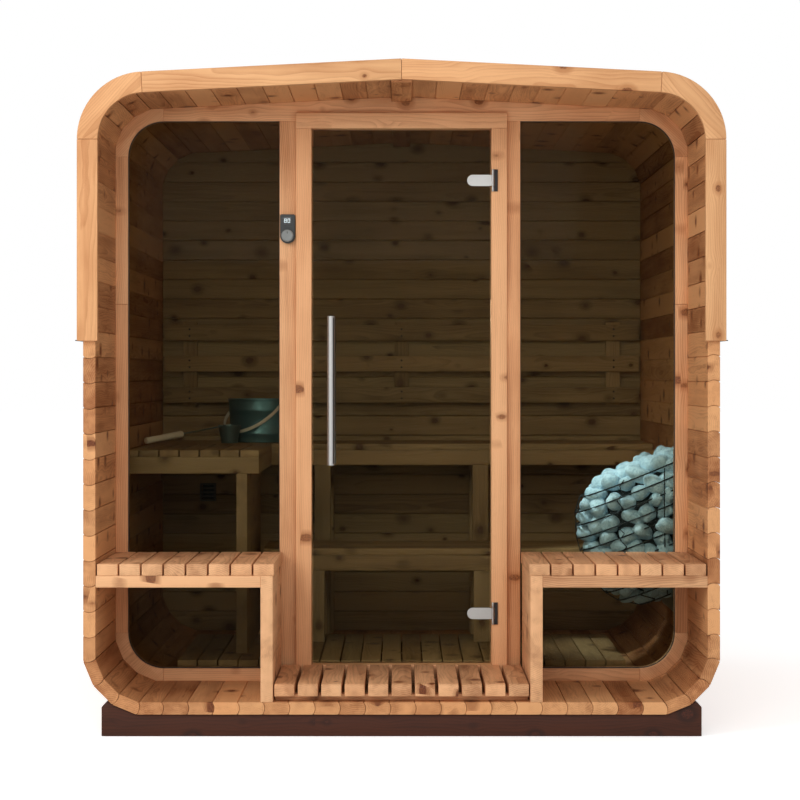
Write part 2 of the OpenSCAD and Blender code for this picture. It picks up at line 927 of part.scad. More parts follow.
module step_bearers() {
    color(pine) placed()
        for (y = [bearer_in, step_back - bearer_in - bearer_w])
            board([-step_half, step_half], [y, y + bearer_w], [floor_in, floor_in + bearer_h]);
}

// ---- Benches ----

module upper_bench() {
    color(indoor_pine) placed()
        for (i = [0 : upper_slats_n - 1])
            board([-bench_end, bench_end],
                [upper_y + i * seat_pitch, upper_y + i * seat_pitch + slat_w],
                [upper_under, upper_z]);
}

module lower_bench() {
    color(indoor_pine) placed()
        for (i = [0 : lower_slats_n - 1])
            board([lower_left, bench_end],
                [lower_y + i * seat_pitch, lower_y + i * seat_pitch + slat_w],
                [lower_under, lower_z]);
}

module side_bench() {
    color(indoor_pine) placed()
        for (i = [0 : side_slats_n - 1])
            board([max(side_x - i * seat_pitch - slat_w, -bench_end), side_x - i * seat_pitch],
                [side_y, upper_y - board_gap], [upper_under, upper_z]);
}

module bench_aprons() {
    upper_rails = [upper_y + apron_in, upper_back - rail_t - apron_in];
    lower_rails = [lower_y + apron_in, lower_back - rail_t - apron_in];
    color(indoor_pine) placed() {
        for (y = upper_rails)
            board([-half_in, half_in], [y, y + rail_t], [upper_under - apron_h, upper_under]);
        for (y = lower_rails)
            board([lower_left + apron_in, half_in], [y, y + rail_t],
                [lower_under - apron_h, lower_under]);
        board([-half_in, side_x], [side_y + side_apron_in, side_y + side_apron_in + rail_t],
            [upper_under - apron_h, upper_under]);
        board([side_x - rail_t, side_x],
            [side_y + side_apron_in + rail_t + board_gap, upper_y - board_gap],
            [upper_under - apron_h, upper_under]);
    }
}

// Cross pieces that carry the slats between the boards under their edges
module bench_battens() {
    upper = [upper_y + apron_in + rail_t, upper_back - rail_t - apron_in];
    lower = [lower_y + apron_in + rail_t, lower_back - rail_t - apron_in];
    side = [-half_in, side_x - rail_t];
    color(indoor_pine) placed() {
        for (x = [-half_in, -post_x - batten_w / 2, post_x - batten_w / 2, half_in - batten_w])
            board([x, x + batten_w], upper, [upper_under - bench_batten_t, upper_under]);
        for (x = [lower_left + apron_in, -post_x - batten_w / 2, post_x - batten_w / 2,
                half_in - batten_w])
            board([x, x + batten_w], lower, [lower_under - bench_batten_t, lower_under]);
        for (y = [(side_y + upper_y) / 2, upper_y - board_gap - batten_w])
            board(side, [y, y + batten_w], [upper_under - bench_batten_t, upper_under]);
    }
}

module bench_posts() {
    color(indoor_pine) placed() {
        for (side = [-1, 1], y = [upper_y + apron_in, upper_back - post_t - apron_in])
            board([side * post_x - post_w / 2, side * post_x + post_w / 2], [y, y + post_t],
                [floor_in, upper_under - apron_h]);
        for (side = [-1, 1]) {
            x = side * post_x - lower_post_shift;
            board([x - post_w / 2, x + post_w / 2],
                [lower_y + apron_in, lower_y + apron_in + post_t],
                [duckboard_z, lower_under - apron_h]);
            board([x - post_w / 2, x + post_w / 2],
                [lower_back - post_t - apron_in, lower_back - apron_in],
                [floor_in, lower_under - apron_h]);
        }
    }
}

module side_bench_panel() {
    color(indoor_pine) placed() board([side_panel_x - side_panel_t, side_panel_x],
        [side_y + side_apron_in, upper_y - board_gap], [duckboard_z, upper_under - apron_h]);
}

// ---- Backrest and duckboard ----

module backrest() {
    color(indoor_pine) placed()
        for (i = [0 : backrest_boards_n - 1])
            board([-backrest_half, backrest_half], [back_y - batten_t - slat_t, back_y - batten_t],
                [backrest_foot + i * backrest_pitch,
                    backrest_foot + i * backrest_pitch + backrest_board_h]);
}

module backrest_battens() {
    color(indoor_pine) placed()
        for (x = [-batten_x, 0, batten_x])
            board([x - batten_w / 2, x + batten_w / 2], [back_y - batten_t, back_y],
                [backrest_foot - batten_over,
                    backrest_foot + (backrest_boards_n - 1) * backrest_pitch + backrest_board_h
                        + batten_over]);
}

module duckboard() {
    color(indoor_pine) placed() both_sides()
        for (i = [0 : duckboard_half_n - 1])
            board([duckboard_gap / 2 + i * duckboard_pitch,
                    duckboard_gap / 2 + i * duckboard_pitch + slat_w],
                [duckboard_y, duckboard_y + duckboard_l], [duckboard_z - slat_t, duckboard_z]);
}

module duckboard_bearers() {
    color(indoor_pine) placed()
        for (y = [0, (duckboard_l - bearer_w) / 2, duckboard_l - bearer_w])
            board([-duckboard_half, duckboard_half],
                [duckboard_y + y, duckboard_y + y + bearer_w], [floor_in, duckboard_z - slat_t]);
}

// ---- Heater ----

// Point on a half ring: reach out of the wall, half width along it, turn 0 to 180
function ring_point(wall_z, out, half, turn) = [
    heater_x - out * sin(turn),
    heater_y - half * cos(turn),
    wall_z - out * sin(turn) * tan(rod_rise)
];

function reach_at(wall_z) = lookup(wall_z, heater_rows);

// Skin of the pile: a stack of half rings, closed by a fan at each end and by the back
module heater_stones() {
    n = heater_arc + 1;
    rows = len(heater_rows);
    points = [
        for (row = heater_rows, i = [0 : heater_arc])
            ring_point(row[0], row[1] * heater_out, row[1] * heater_half, i * 180 / heater_arc)
    ];
    skin = [
        for (r = [0 : rows - 2], i = [0 : heater_arc - 1])
            each [
                [r * n + i, (r + 1) * n + i + 1, (r + 1) * n + i],
                [r * n + i, r * n + i + 1, (r + 1) * n + i + 1]
            ]
    ];
    back = [
        for (r = [0 : rows - 2])
            [r * n, (r + 1) * n, (r + 1) * n + heater_arc, r * n + heater_arc]
    ];
    foot = [[for (i = [heater_arc : -1 : 0]) i]];
    top = [[for (i = [0 : heater_arc]) (rows - 1) * n + i]];
    color([0.62, 0.70, 0.70]) placed() polyhedron(points, [
        for (face = concat(skin, back, foot, top)) reversed(face)
    ]);
}

// Round bar through a list of points, with flat ends
module bent_bar(path, r) {
    last = len(path) - 1;
    points = [
        for (i = [0 : last])
            let (
                along = path[min(i + 1, last)] - path[max(i - 1, 0)],
                side = cross(along, [0, 0, 1]) / norm(cross(along, [0, 0, 1])),
                up = cross(side, along) / norm(along)
            )
            for (k = [0 : rod_sides - 1])
                path[i] + r * (cos(k * 360 / rod_sides) * side + sin(k * 360 / rod_sides) * up)
    ];
    skin = [
        for (i = [0 : last - 1], k = [0 : rod_sides - 1])
            let (a = i * rod_sides + k, b = i * rod_sides + (k + 1) % rod_sides)
                [a, a + rod_sides, b + rod_sides, b]
    ];
    ends = [
        [for (k = [0 : rod_sides - 1]) k],
        [for (k = [rod_sides - 1 : -1 : 0]) last * rod_sides + k]
    ];
    polyhedron(points, concat(skin, ends));
}

module heater_cage() {
    first = heater_rows[0][0] + first_rod_up;
    last = heater_rows[len(heater_rows) - 1][0] - last_rod_down;
    color([0.16, 0.17, 0.17]) placed()
        for (z = [first : rod_pitch : last])
            bent_bar([
                for (i = [0 : heater_arc])
                    ring_point(z, reach_at(z) * heater_out + rod_off,
                        reach_at(z) * heater_half + rod_off, i * 180 / heater_arc)
            ], rod_r);
}

module heater_plate() {
    color([0.55, 0.57, 0.57]) placed() {
        board([plate_x, plate_x + plate_t], [heater_y - plate_half, heater_y + plate_half],
            [plate_low, plate_top]);
        for (z = [plate_low + bracket_in, plate_top - bracket_in - bracket_h])
            board([plate_x + plate_t - slop, half_in],
                [heater_y - plate_half / 2, heater_y + plate_half / 2], [z, z + bracket_h]);
    }
}

// ---- Pail and ladle ----

module pail() {
    color([0.20, 0.30, 0.31]) placed() translate([pail_x, pail_y, 0]) {
        translate([0, 0, upper_z]) rotate_extrude() polygon([
            [0, 0], [pail_foot_r, 0], [pail_r, pail_h], [pail_r - pail_t, pail_h],
            [pail_foot_r - pail_t, pail_t], [0, pail_t]
        ]);
        for (side = [0, 180])
            rotate([0, 0, bail_turn + side]) translate([pail_r - pail_t, 0, ear_z])
                rotate([0, 90, 0]) cylinder(r = ear_r, h = bail_half - bail_t - pail_r + pail_t);
    }
}

// Outline of the bail, d inside its outside
module bail_shape(d) {
    straight = bail_l - bail_half;
    translate([-bail_half + d, 0]) square([2 * (bail_half - d), straight]);
    translate([0, straight]) circle(r = bail_half - d, $fn = 96);
}

module pail_bail() {
    color([0.80, 0.72, 0.60]) placed() translate([pail_x, pail_y, ear_z])
        rotate([0, 0, bail_turn]) rotate([180 + bail_drop, 0, 0])
            translate([0, 0, -bail_w / 2]) linear_extrude(bail_w) difference() {
                bail_shape(0);
                bail_shape(bail_t);
                translate([-bail_half, -bail_l]) square([2 * bail_half, bail_l]);
            }
}

// Line of the ladle's handle, from the bowl's rim down to the bench
module along_handle() {
    placed() translate([ladle_x, ladle_y, upper_z]) rotate([0, 0, ladle_turn])
        translate([ladle_r - ladle_t, 0, ladle_h - neck_r - neck_drop]) rotate([0, 90 + neck_fall, 0])
            children();
}

module ladle() {
    color([0.55, 0.58, 0.56]) {
        placed() translate([ladle_x, ladle_y, upper_z]) rotate_extrude() polygon([
            [0, 0], [ladle_foot_r, 0], [ladle_r, ladle_h], [ladle_r - ladle_t, ladle_h],
            [ladle_foot_r - ladle_t, ladle_t], [0, ladle_t]
        ]);
        along_handle() cylinder(r = neck_r, h = neck_l);
    }
}

module ladle_grip() {
    color([0.86, 0.74, 0.58]) along_handle()
        translate([0, 0, neck_l]) cylinder(r = grip_r, h = grip_l);
}

cradle_beams();
floor_staves();
wall_staves_left();
wall_staves_right();
lower_corner_staves();
upper_corner_staves();
ceiling_staves();
ridge_stave();
roof_covering();
drip_edges();
front_edge_boards();
back_edge_boards();
back_wall();
air_vent();
front_header();
front_bottom_rails();
front_side_rails();
front_corners();
mullion_left();
mullion_right();
window_left();
window_right();
door_frame_left();
door_frame_right();
door_frame_head();
door_sill();
door_glass();
hinge_leaves();
hinge_bases();
door_handle();
control_panel();
control_knob();
porch_seats();
porch_bench_rails();
porch_panel_left();
porch_panel_right();
step_slats();
step_bearers();
upper_bench();
lower_bench();
side_bench();
bench_aprons();
bench_battens();
bench_posts();
side_bench_panel();
backrest();
backrest_battens();
duckboard();
duckboard_bearers();
heater_stones();
heater_cage();
heater_plate();
pail();
pail_bail();
ladle();
ladle_grip();
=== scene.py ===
"""Rounded timber outdoor sauna: boards, staves, shingles, stones and fittings around a fixed frame."""
import math
import random

import bmesh
import bpy
from mathutils import Matrix, Vector, geometry, noise


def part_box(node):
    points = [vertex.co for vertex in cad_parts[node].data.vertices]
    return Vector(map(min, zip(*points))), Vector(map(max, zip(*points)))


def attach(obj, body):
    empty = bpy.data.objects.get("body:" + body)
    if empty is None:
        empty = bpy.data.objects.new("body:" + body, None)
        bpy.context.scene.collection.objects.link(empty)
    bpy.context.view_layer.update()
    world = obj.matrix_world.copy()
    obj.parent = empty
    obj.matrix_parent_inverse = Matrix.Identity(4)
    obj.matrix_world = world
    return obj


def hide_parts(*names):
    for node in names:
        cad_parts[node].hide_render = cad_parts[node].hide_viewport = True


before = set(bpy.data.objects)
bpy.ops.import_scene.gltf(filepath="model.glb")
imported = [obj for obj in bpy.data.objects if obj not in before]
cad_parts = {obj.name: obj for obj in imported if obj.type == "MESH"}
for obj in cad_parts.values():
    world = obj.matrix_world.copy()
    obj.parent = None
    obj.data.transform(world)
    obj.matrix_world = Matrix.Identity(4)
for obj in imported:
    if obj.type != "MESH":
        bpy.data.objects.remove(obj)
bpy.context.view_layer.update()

bl_info = {
    "name": "Outdoor Sauna",
    "version": (1, 0, 0),
    "blender": (4, 5, 0),
    "location": "View3D > Sidebar > Sauna",
    "description": "Builds the timber, roof, glass, heater and fittings of an outdoor sauna",
    "category": "Object",
}

MM = 0.001
X, Y, Z = Vector((1, 0, 0)), Vector((0, 1, 0)), Vector((0, 0, 1))
NEAR = 1e-4                      # corners this close to a plane lie in it
MERGE = 2e-5                     # points closer than this are one
FLAT = math.radians(0.4)         # faces that meet at less than this are one
SHARP = math.radians(32)         # edges sharper than this stay hard
HARD = math.radians(35)          # edges sharper than this are rounded
QUARTER = math.radians(90)
SIDES = (-1, 1)


# ---- Reading the frame ----

def node_points(node):
    return [v.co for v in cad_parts[node].data.vertices]


def flat_points(node):
    """Corner points (x, z) of a node's front face."""
    points = node_points(node)
    front = min(p.y for p in points)
    found = {(round(p.x, 4), round(p.z, 4)) for p in points if abs(p.y - front) < NEAR}
    return [Vector(p) for p in sorted(found)]


def bare_copy(node):
    """The node's shape as a closed bmesh with flat faces joined."""
    bm = new_shape()
    verts = [bm.verts.new(p) for p in node_points(node)]
    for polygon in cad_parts[node].data.polygons:
        bm.faces.new([verts[i] for i in polygon.vertices])
    bmesh.ops.remove_doubles(bm, verts=bm.verts, dist=MERGE)
    bmesh.ops.dissolve_limit(bm, angle_limit=FLAT, verts=bm.verts, edges=bm.edges)
    return bm


def islands(bm):
    """Groups of connected vertices, from left to right, front to back and bottom to top."""
    left = set(bm.verts)
    groups = []
    while left:
        group = [left.pop()]
        for vert in group:
            for edge in vert.link_edges:
                other = edge.other_vert(vert)
                if other in left:
                    left.discard(other)
                    group.append(other)
        groups.append(group)
    return sorted(groups, key=lambda g: tuple(round(c, 3) for c in span(v.co for v in g)[0]))


def span(points):
    points = list(points)
    low = Vector([min(p[i] for p in points) for i in range(3)])
    high = Vector([max(p[i] for p in points) for i in range(3)])
    return low, high


def island_boxes(node):
    bm = bare_copy(node)
    boxes = [span(v.co for v in group) for group in islands(bm)]
    bm.free()
    return boxes


# ---- Making meshes ----

def add_object(name, bm, material):
    mesh = bpy.data.meshes.new(name)
    bm.to_mesh(mesh)
    bm.free()
    mesh.materials.append(material)
    return link(name, mesh)


def link(name, mesh):
    obj = bpy.data.objects.new(name, mesh)
    bpy.context.scene.collection.objects.link(obj)
    return obj


def join(objects):
    """Joins objects into the first one, with their attributes and materials."""
    if len(objects) > 1:
        with bpy.context.temp_override(active_object=objects[0], selected_editable_objects=objects):
            bpy.ops.object.join()
    return objects[0]


def finish_piece(objects, name, body, slot, *replaced, smooth=True):
    """Joins the parts of one piece, shades it and hands it to the frame."""
    piece = join(objects)
    piece.name = name
    if smooth:
        piece.data.polygons.foreach_set("use_smooth", [True] * len(piece.data.polygons))
        piece.data.set_sharp_from_angle(angle=SHARP)
    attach(piece, body)
    if replaced:
        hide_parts(*replaced)
    return piece


def root_piece(bm, name, slot, *replaced, look=None):
    """One shape as a piece of the fixed body, in the finish of its slot or in another one."""
    return finish_piece([add_object(name, bm, finish(look or slot))], name, "root", slot, *replaced)


def paint(slot, *nodes):
    """Gives the frame's own nodes a finish."""
    for node in nodes:
        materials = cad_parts[node].data.materials
        materials.clear()
        materials.append(finish(slot))


def soften(bm, width, segments=2, above=HARD):
    """Rounds every hard edge of a closed shape."""
    edges = [e for e in bm.edges if len(e.link_faces) == 2 and e.calc_face_angle() > above]
    if width and edges:
        bmesh.ops.bevel(bm, geom=edges, offset=width, segments=segments, profile=0.5,
                        affect="EDGES", clamp_overlap=True)


def new_shape():
    """Empty shape whose points carry their place in a board and the board's tone."""
    bm = bmesh.new()
    bm.verts.layers.float_vector.new("grain")
    bm.verts.layers.float.new("board")
    return bm


def grain_layers(bm):
    return bm.verts.layers.float_vector["grain"], bm.verts.layers.float["board"]


def lay_grain(bm, verts, along, tone, thin=None):
    """Stores where each point lies in its board: along the fibres, across them and through it."""
    grain, board = grain_layers(bm)
    low, high = span(v.co for v in verts)
    middle = (low + high) / 2
    along = along.normalized()
    if thin is None:
        axes = [a for a in (X, Y, Z) if abs(a.dot(along)) < 0.5]
        thin = min(axes, key=lambda a: abs(a.dot(high - low)))
    across = thin.cross(along).normalized()
    for vert in verts:
        place = vert.co - middle
        vert[grain] = (place.dot(along), place.dot(across), place.dot(thin))
        vert[board] = tone


def longest(low, high):
    size = high - low
    return max((X, Y, Z), key=lambda a: a.dot(size))


def box_mesh(low, high, bevel, segments=2):
    bm = new_shape()
    bmesh.ops.create_cube(bm, size=1)
    for vert in bm.verts:
        vert.co = Vector([low[i] + (high[i] - low[i]) * (vert.co[i] + 0.5) for i in range(3)])
    soften(bm, bevel, segments)
    return bm


def wood_piece(node, ending, slot, rng, along=None, bevel=None, look=None):
    """A node's own shape with softened edges and grain along each of its boards."""
    bm = bare_copy(node)
    soften(bm, bevel or sizes().board_edge)
    for group in islands(bm):
        low, high = span(v.co for v in group)
        way = along(low, high) if along else longest(low, high)
        lay_grain(bm, group, way, rng.random())
    root_piece(bm, f"{node}_{ending}", slot, node, look=look)


def ring_at(bm, points, y):
    return [bm.verts.new((p.x, y, p.y)) for p in points]


def loft(bm, rings, capped=True):
    """Skin over rings of points, with flat ends or on from the last ring to the first."""
    if capped:
        bm.faces.new(rings[0])
        bm.faces.new(rings[-1][::-1])
    for near, far in zip(rings, rings[1:] if capped else rings[1:] + rings[:1]):
        for i in range(len(near)):
            bm.faces.new((near[i - 1], far[i - 1], far[i], near[i]))


def outward(bm):
    bmesh.ops.recalc_face_normals(bm, faces=bm.faces)
    return bm


def anticlockwise(outline):
    points = [Vector(p) for p in outline]
    area = sum(a.x * b.y - b.x * a.y for a, b in zip(points[-1:] + points, points))
    return points[::-1] if area < 0 else points


def inset(points, by):
    """Anticlockwise outline with every side moved inwards."""
    moved = []
    for i, point in enumerate(points):
        before = (point - points[i - 1]).normalized()
        after = (points[(i + 1) % len(points)] - point).normalized()
        normal = Vector((-before.y - after.y, before.x + after.x))
        moved.append(point + normal / max(normal.dot(normal) / 2, 0.5) * by)
    return moved


def prism(outline, y0, y1, bevel):
    """Straight bar between two depths from an outline of (x, z) points, with softened ends."""
    bm = new_shape()
    points = anticlockwise(outline)
    ends = inset(points, bevel)
    loft(bm, [ring_at(bm, ring, y) for y, ring in (
        (y0, ends), (y0 + bevel, points), (y1 - bevel, points), (y1, ends))])
    return outward(bm)


def circle(sides):
    turns = [2 * math.pi * i / sides for i in range(sides)]
    return [(math.cos(turn), math.sin(turn)) for turn in turns]


def turned(profile, sides=48):
    """Solid of revolution around Z from (radius, height) points that start and end on the axis."""
    bm = new_shape()
    rings = []
    for radius, height in profile:
        spots = [(radius * c, radius * s) for c, s in circle(sides)] if radius else [(0, 0)]
        rings.append([bm.verts.new((*spot, height)) for spot in spots])
    for low, high in zip(rings, rings[1:]):
        for i in range(sides):
            corners = [low[i % len(low)], low[(i + 1) % len(low)],
                       high[(i + 1) % len(high)], high[i % len(high)]]
            bm.faces.new(list(dict.fromkeys(corners)))
    return outward(bm)


def tube(path, radius, sides=8):
    """Round bar through points, with flat ends."""
    bm = new_shape()
    rings = []
    last = len(path) - 1
    side = None
    for i, point in enumerate(path):
        along = (path[min(i + 1, last)] - path[max(i - 1, 0)]).normalized()
        if side is None:
            side = along.cross(Z if abs(along.z) < 0.9 else X)
        side = (side - along * side.dot(along)).normalized()
        up = side.cross(along)
        rings.append([bm.verts.new(point + radius * (c * side + s * up))
                      for c, s in circle(sides)])
    loft(bm, rings)
    return outward(bm)


# ---- Geometry Nodes ----

def new_geometry_tree(name, sockets):
    """Tree that takes and gives geometry; returns it with the sockets of what it is given."""
    tree = bpy.data.node_groups.new(name, "GeometryNodeTree")
    for in_out in ("OUTPUT", "INPUT"):
        tree.interface.new_socket("Geometry", in_out=in_out, socket_type="NodeSocketGeometry")
    for key, (kind, value) in sockets.items():
        socket = tree.interface.new_socket(key, in_out="INPUT", socket_type="NodeSocket" + kind)
        if value is not None:
            socket.default_value = value
    return tree, tree.nodes.new("NodeGroupInput").outputs


def wire(tree, node, **inputs):
    """Sets or links a node's inputs by name, with _ for a space."""
    if isinstance(node, str):
        node = tree.nodes.new(node)
    for name, value in inputs.items():
        socket = next(s for s in node.inputs if s.enabled and s.name == name.replace("_", " "))
        if isinstance(value, bpy.types.NodeSocket):
            tree.links.new(value, socket)
        else:
            socket.default_value = value
    return node


def random_value(tree, kind, low, high, seed):
    node = tree.nodes.new("FunctionNodeRandomValue")
    node.data_type = kind
    wire(tree, node, Min=low, Max=high, Seed=seed)
    return next(s for s in node.outputs if s.enabled)


def scaled(tree, vector, by):
    node = tree.nodes.new("ShaderNodeVectorMath")
    node.operation = "SCALE"
    return wire(tree, node, Vector=vector, Scale=by).outputs[0]


def set_out(tree, start, turn, **inputs):
    """Closes a tree: instances on points, each with a turn, a size and a tone of its own."""
    seed = start["Seed"]
    placed = wire(tree, "GeometryNodeInstanceOnPoints", Rotation=turn, Scale=random_value(
        tree, "FLOAT", start["Smallest"], start["Largest"], seed), **inputs)
    store = tree.nodes.new("GeometryNodeStoreNamedAttribute")
    store.data_type = "FLOAT"
    store.domain = "INSTANCE"
    wire(tree, store, Geometry=placed.outputs[0], Name="board",
         Value=random_value(tree, "FLOAT", 0.0, 1.0, seed))
    realized = wire(tree, "GeometryNodeRealizeInstances", Geometry=store.outputs["Geometry"])
    painted = wire(tree, "GeometryNodeSetMaterial", Geometry=realized.outputs[0],
                   Material=start["Material"])
    tree.links.new(painted.outputs[0], tree.nodes.new("NodeGroupOutput").inputs[0])
    return tree


def repeat_tree():
    """Puts the object's own mesh at each point of another object, each with a tone of its own."""
    tree, start = new_geometry_tree("Repeat At Places", {
        "Places": ("Object", None), "Seed": ("Int", 0), "Turn": ("Vector", (0, 0, 0)),
        "Smallest": ("Float", 1.0), "Largest": ("Float", 1.0), "Material": ("Material", None)})
    places = wire(tree, "GeometryNodeObjectInfo", Object=start["Places"])
    turn = random_value(tree, "FLOAT_VECTOR", scaled(tree, start["Turn"], -1), start["Turn"],
                        start["Seed"])
    return set_out(tree, start, turn, Points=places.outputs["Geometry"],
                   Instance=start["Geometry"])


def pile_tree():
    """Packs the kinds of stone just under the skin of the object's own mesh."""
    kinds = [f"Stone {i}" for i in range(len(STONES))]
    tree, start = new_geometry_tree("Stone Pile", {
        **{kind: ("Object", None) for kind in kinds}, "Spacing": ("Float", 0.06),
        "Depth": ("Float", 0.03), "Seed": ("Int", 0), "Smallest": ("Float", 0.8),
        "Largest": ("Float", 1.1), "Material": ("Material", None)})
    spread = tree.nodes.new("GeometryNodeDistributePointsOnFaces")
    spread.distribute_method = "POISSON"
    wire(tree, spread, Mesh=start["Geometry"], Distance_Min=start["Spacing"],
         Density_Max=4000.0, Density_Factor=1.0, Seed=start["Seed"])
    inward = scaled(tree, scaled(tree, spread.outputs["Normal"], start["Depth"]), -1)
    sunk = wire(tree, "GeometryNodeSetPosition", Geometry=spread.outputs["Points"], Offset=inward)
    joined = tree.nodes.new("GeometryNodeJoinGeometry")
    for kind in kinds:
        stone = wire(tree, "GeometryNodeObjectInfo", Object=start[kind], As_Instance=True)
        tree.links.new(stone.outputs["Geometry"], joined.inputs[0])
    turn = random_value(tree, "FLOAT_VECTOR", (0, 0, 0), (6.28, 0.5, 6.28), start["Seed"])
    return set_out(tree, start, turn, Points=sunk.outputs[0], Instance=joined.outputs[0],
                   Pick_Instance=True, Instance_Index=random_value(
                       tree, "INT", 0, len(STONES) - 1, start["Seed"]))


def grown(obj, tree, **inputs):
    """Runs a tree on an object and keeps the result as its plain mesh."""
    modifier = obj.modifiers.new(tree.name, "NODES")
    modifier.node_group = tree
    for item in tree.interface.items_tree:
        key = item.name.replace(" ", "_")
        if item.in_out == "INPUT" and key in inputs:
            modifier[item.identifier] = inputs[key]
    graph = bpy.context.evaluated_depsgraph_get()
    made = bpy.data.meshes.new_from_object(obj.evaluated_get(graph))
    obj.modifiers.clear()
    obj.data = made
    return obj


def tree_named(name, make):
    return bpy.data.node_groups.get(name) or make()


def repeated(bm, name, places, material, seed, **inputs):
    """Copies one shape to a list of offsets."""
    mesh = bpy.data.meshes.new(name + "_places")
    mesh.from_pydata([tuple(p) for p in places], [], [])
    points = link(name + "_places", mesh)
    obj = add_object(name, bm, material)
    obj.data.attributes.remove(obj.data.attributes["board"])
    grown(obj, tree_named("Repeat At Places", repeat_tree), Places=points, Seed=seed,
          Material=material, **inputs)
    bpy.data.objects.remove(points)
    return obj


def slats(node, material, bevel, seed, shape=None, segments=2):
    """Boards of one node: one softened board for each size, copied to where the frame has them."""
    boxes = island_boxes(node)
    sizes = {}
    for low, high in boxes:
        key = tuple(round(c, 4) for c in high - low)
        sizes.setdefault(key, []).append((low, high))
    parts = []
    for number, alike in enumerate(sizes.values()):
        low, high = alike[0]
        bm = shape(low, high) if shape else box_mesh(low, high, bevel, segments)
        lay_grain(bm, list(bm.verts), longest(low, high), 0.5)
        parts.append(repeated(bm, f"{node}_{number}", [other - low for other, _ in alike],
                              material, seed + number))
    return parts


# ---- Node groups and materials ----

class Wiring:
    """Short way to lay out shader nodes in one tree."""

    def __init__(self, tree):
        self.tree = tree

    def add(self, kind, **settings):
        node = self.tree.nodes.new(kind)
        for name, value in settings.items():
            setattr(node, name, value)
        return node

    def wire(self, node, **inputs):
        return wire(self.tree, node, **inputs)

    def fill(self, node, *values, output=0):
        """Sets or links a node's first inputs in order."""
        for socket, value in zip(node.inputs, values):
            if isinstance(value, bpy.types.NodeSocket):
                self.tree.links.new(value, socket)
            else:
                socket.default_value = value
        return node.outputs[output]

    def math(self, operation, *values, clamp=False):
        return self.fill(self.add("ShaderNodeMath", operation=operation, use_clamp=clamp), *values)

    def plus(self, *values):
        total = values[0]
        for value in values[1:]:
            total = self.math("ADD", total, value)
        return total

    def minus(self, a, b):
        return self.math("SUBTRACT", a, b)

    def times(self, a, b):
        return self.math("MULTIPLY", a, b)

    def swing(self, value, reach):
        """Turns 0 to 1 into as much to each side of 0."""
        return self.times(self.minus(value, 0.5), reach)

    def vector_math(self, operation, *values, output=0):
        return self.fill(self.add("ShaderNodeVectorMath", operation=operation), *values,
                         output=output)

    def mix(self, factor, a, b, blend="MIX"):
        node = self.add("ShaderNodeMix", data_type="RGBA", blend_type=blend)
        return next(s for s in self.wire(node, Factor=factor, A=a, B=b).outputs if s.enabled)

    def noise(self, vector, scale=1.0, detail=2.0, rough=0.5):
        return self.wire(self.add("ShaderNodeTexNoise"), Vector=vector, Scale=scale,
                         Detail=detail, Roughness=rough).outputs[0]

    def line_noise(self, place, scale):
        return self.wire(self.add("ShaderNodeTexNoise", noise_dimensions="1D"), W=place,
                         Scale=scale, Detail=1.0, Roughness=0.5).outputs[0]

    def ramp(self, value, low, high, out_low=0.0, out_high=1.0):
        return self.wire(self.add("ShaderNodeMapRange", clamp=True), Value=value, From_Min=low,
                         From_Max=high, To_Min=out_low, To_Max=out_high).outputs[0]

    def attribute(self, name):
        return self.add("ShaderNodeAttribute", attribute_name=name).outputs

    def join(self, x, y, z):
        return self.fill(self.add("ShaderNodeCombineXYZ"), x, y, z)

    def split(self, vector):
        return self.wire(self.add("ShaderNodeSeparateXYZ"), Vector=vector).outputs

    def object_space(self):
        return self.add("ShaderNodeTexCoord").outputs["Object"]

    def surface(self, shader):
        self.wire(self.tree.nodes["Material Output"], Surface=shader)


def shader_group(name, inputs):
    """New group with these inputs, and with colour, roughness and height as its outputs."""
    tree = bpy.data.node_groups.new(name, "ShaderNodeTree")
    for key, value in inputs.items():
        kind = {3: "Vector", 4: "Color"}[len(value)] if isinstance(value, tuple) else "Float"
        socket = tree.interface.new_socket(key, in_out="INPUT", socket_type="NodeSocket" + kind)
        socket.default_value = value
    for key, kind in (("Color", "Color"), ("Roughness", "Float"), ("Height", "Float")):
        tree.interface.new_socket(key, in_out="OUTPUT", socket_type="NodeSocket" + kind)
    w = Wiring(tree)
    return tree, w, w.add("NodeGroupInput").outputs, w.add("NodeGroupOutput")


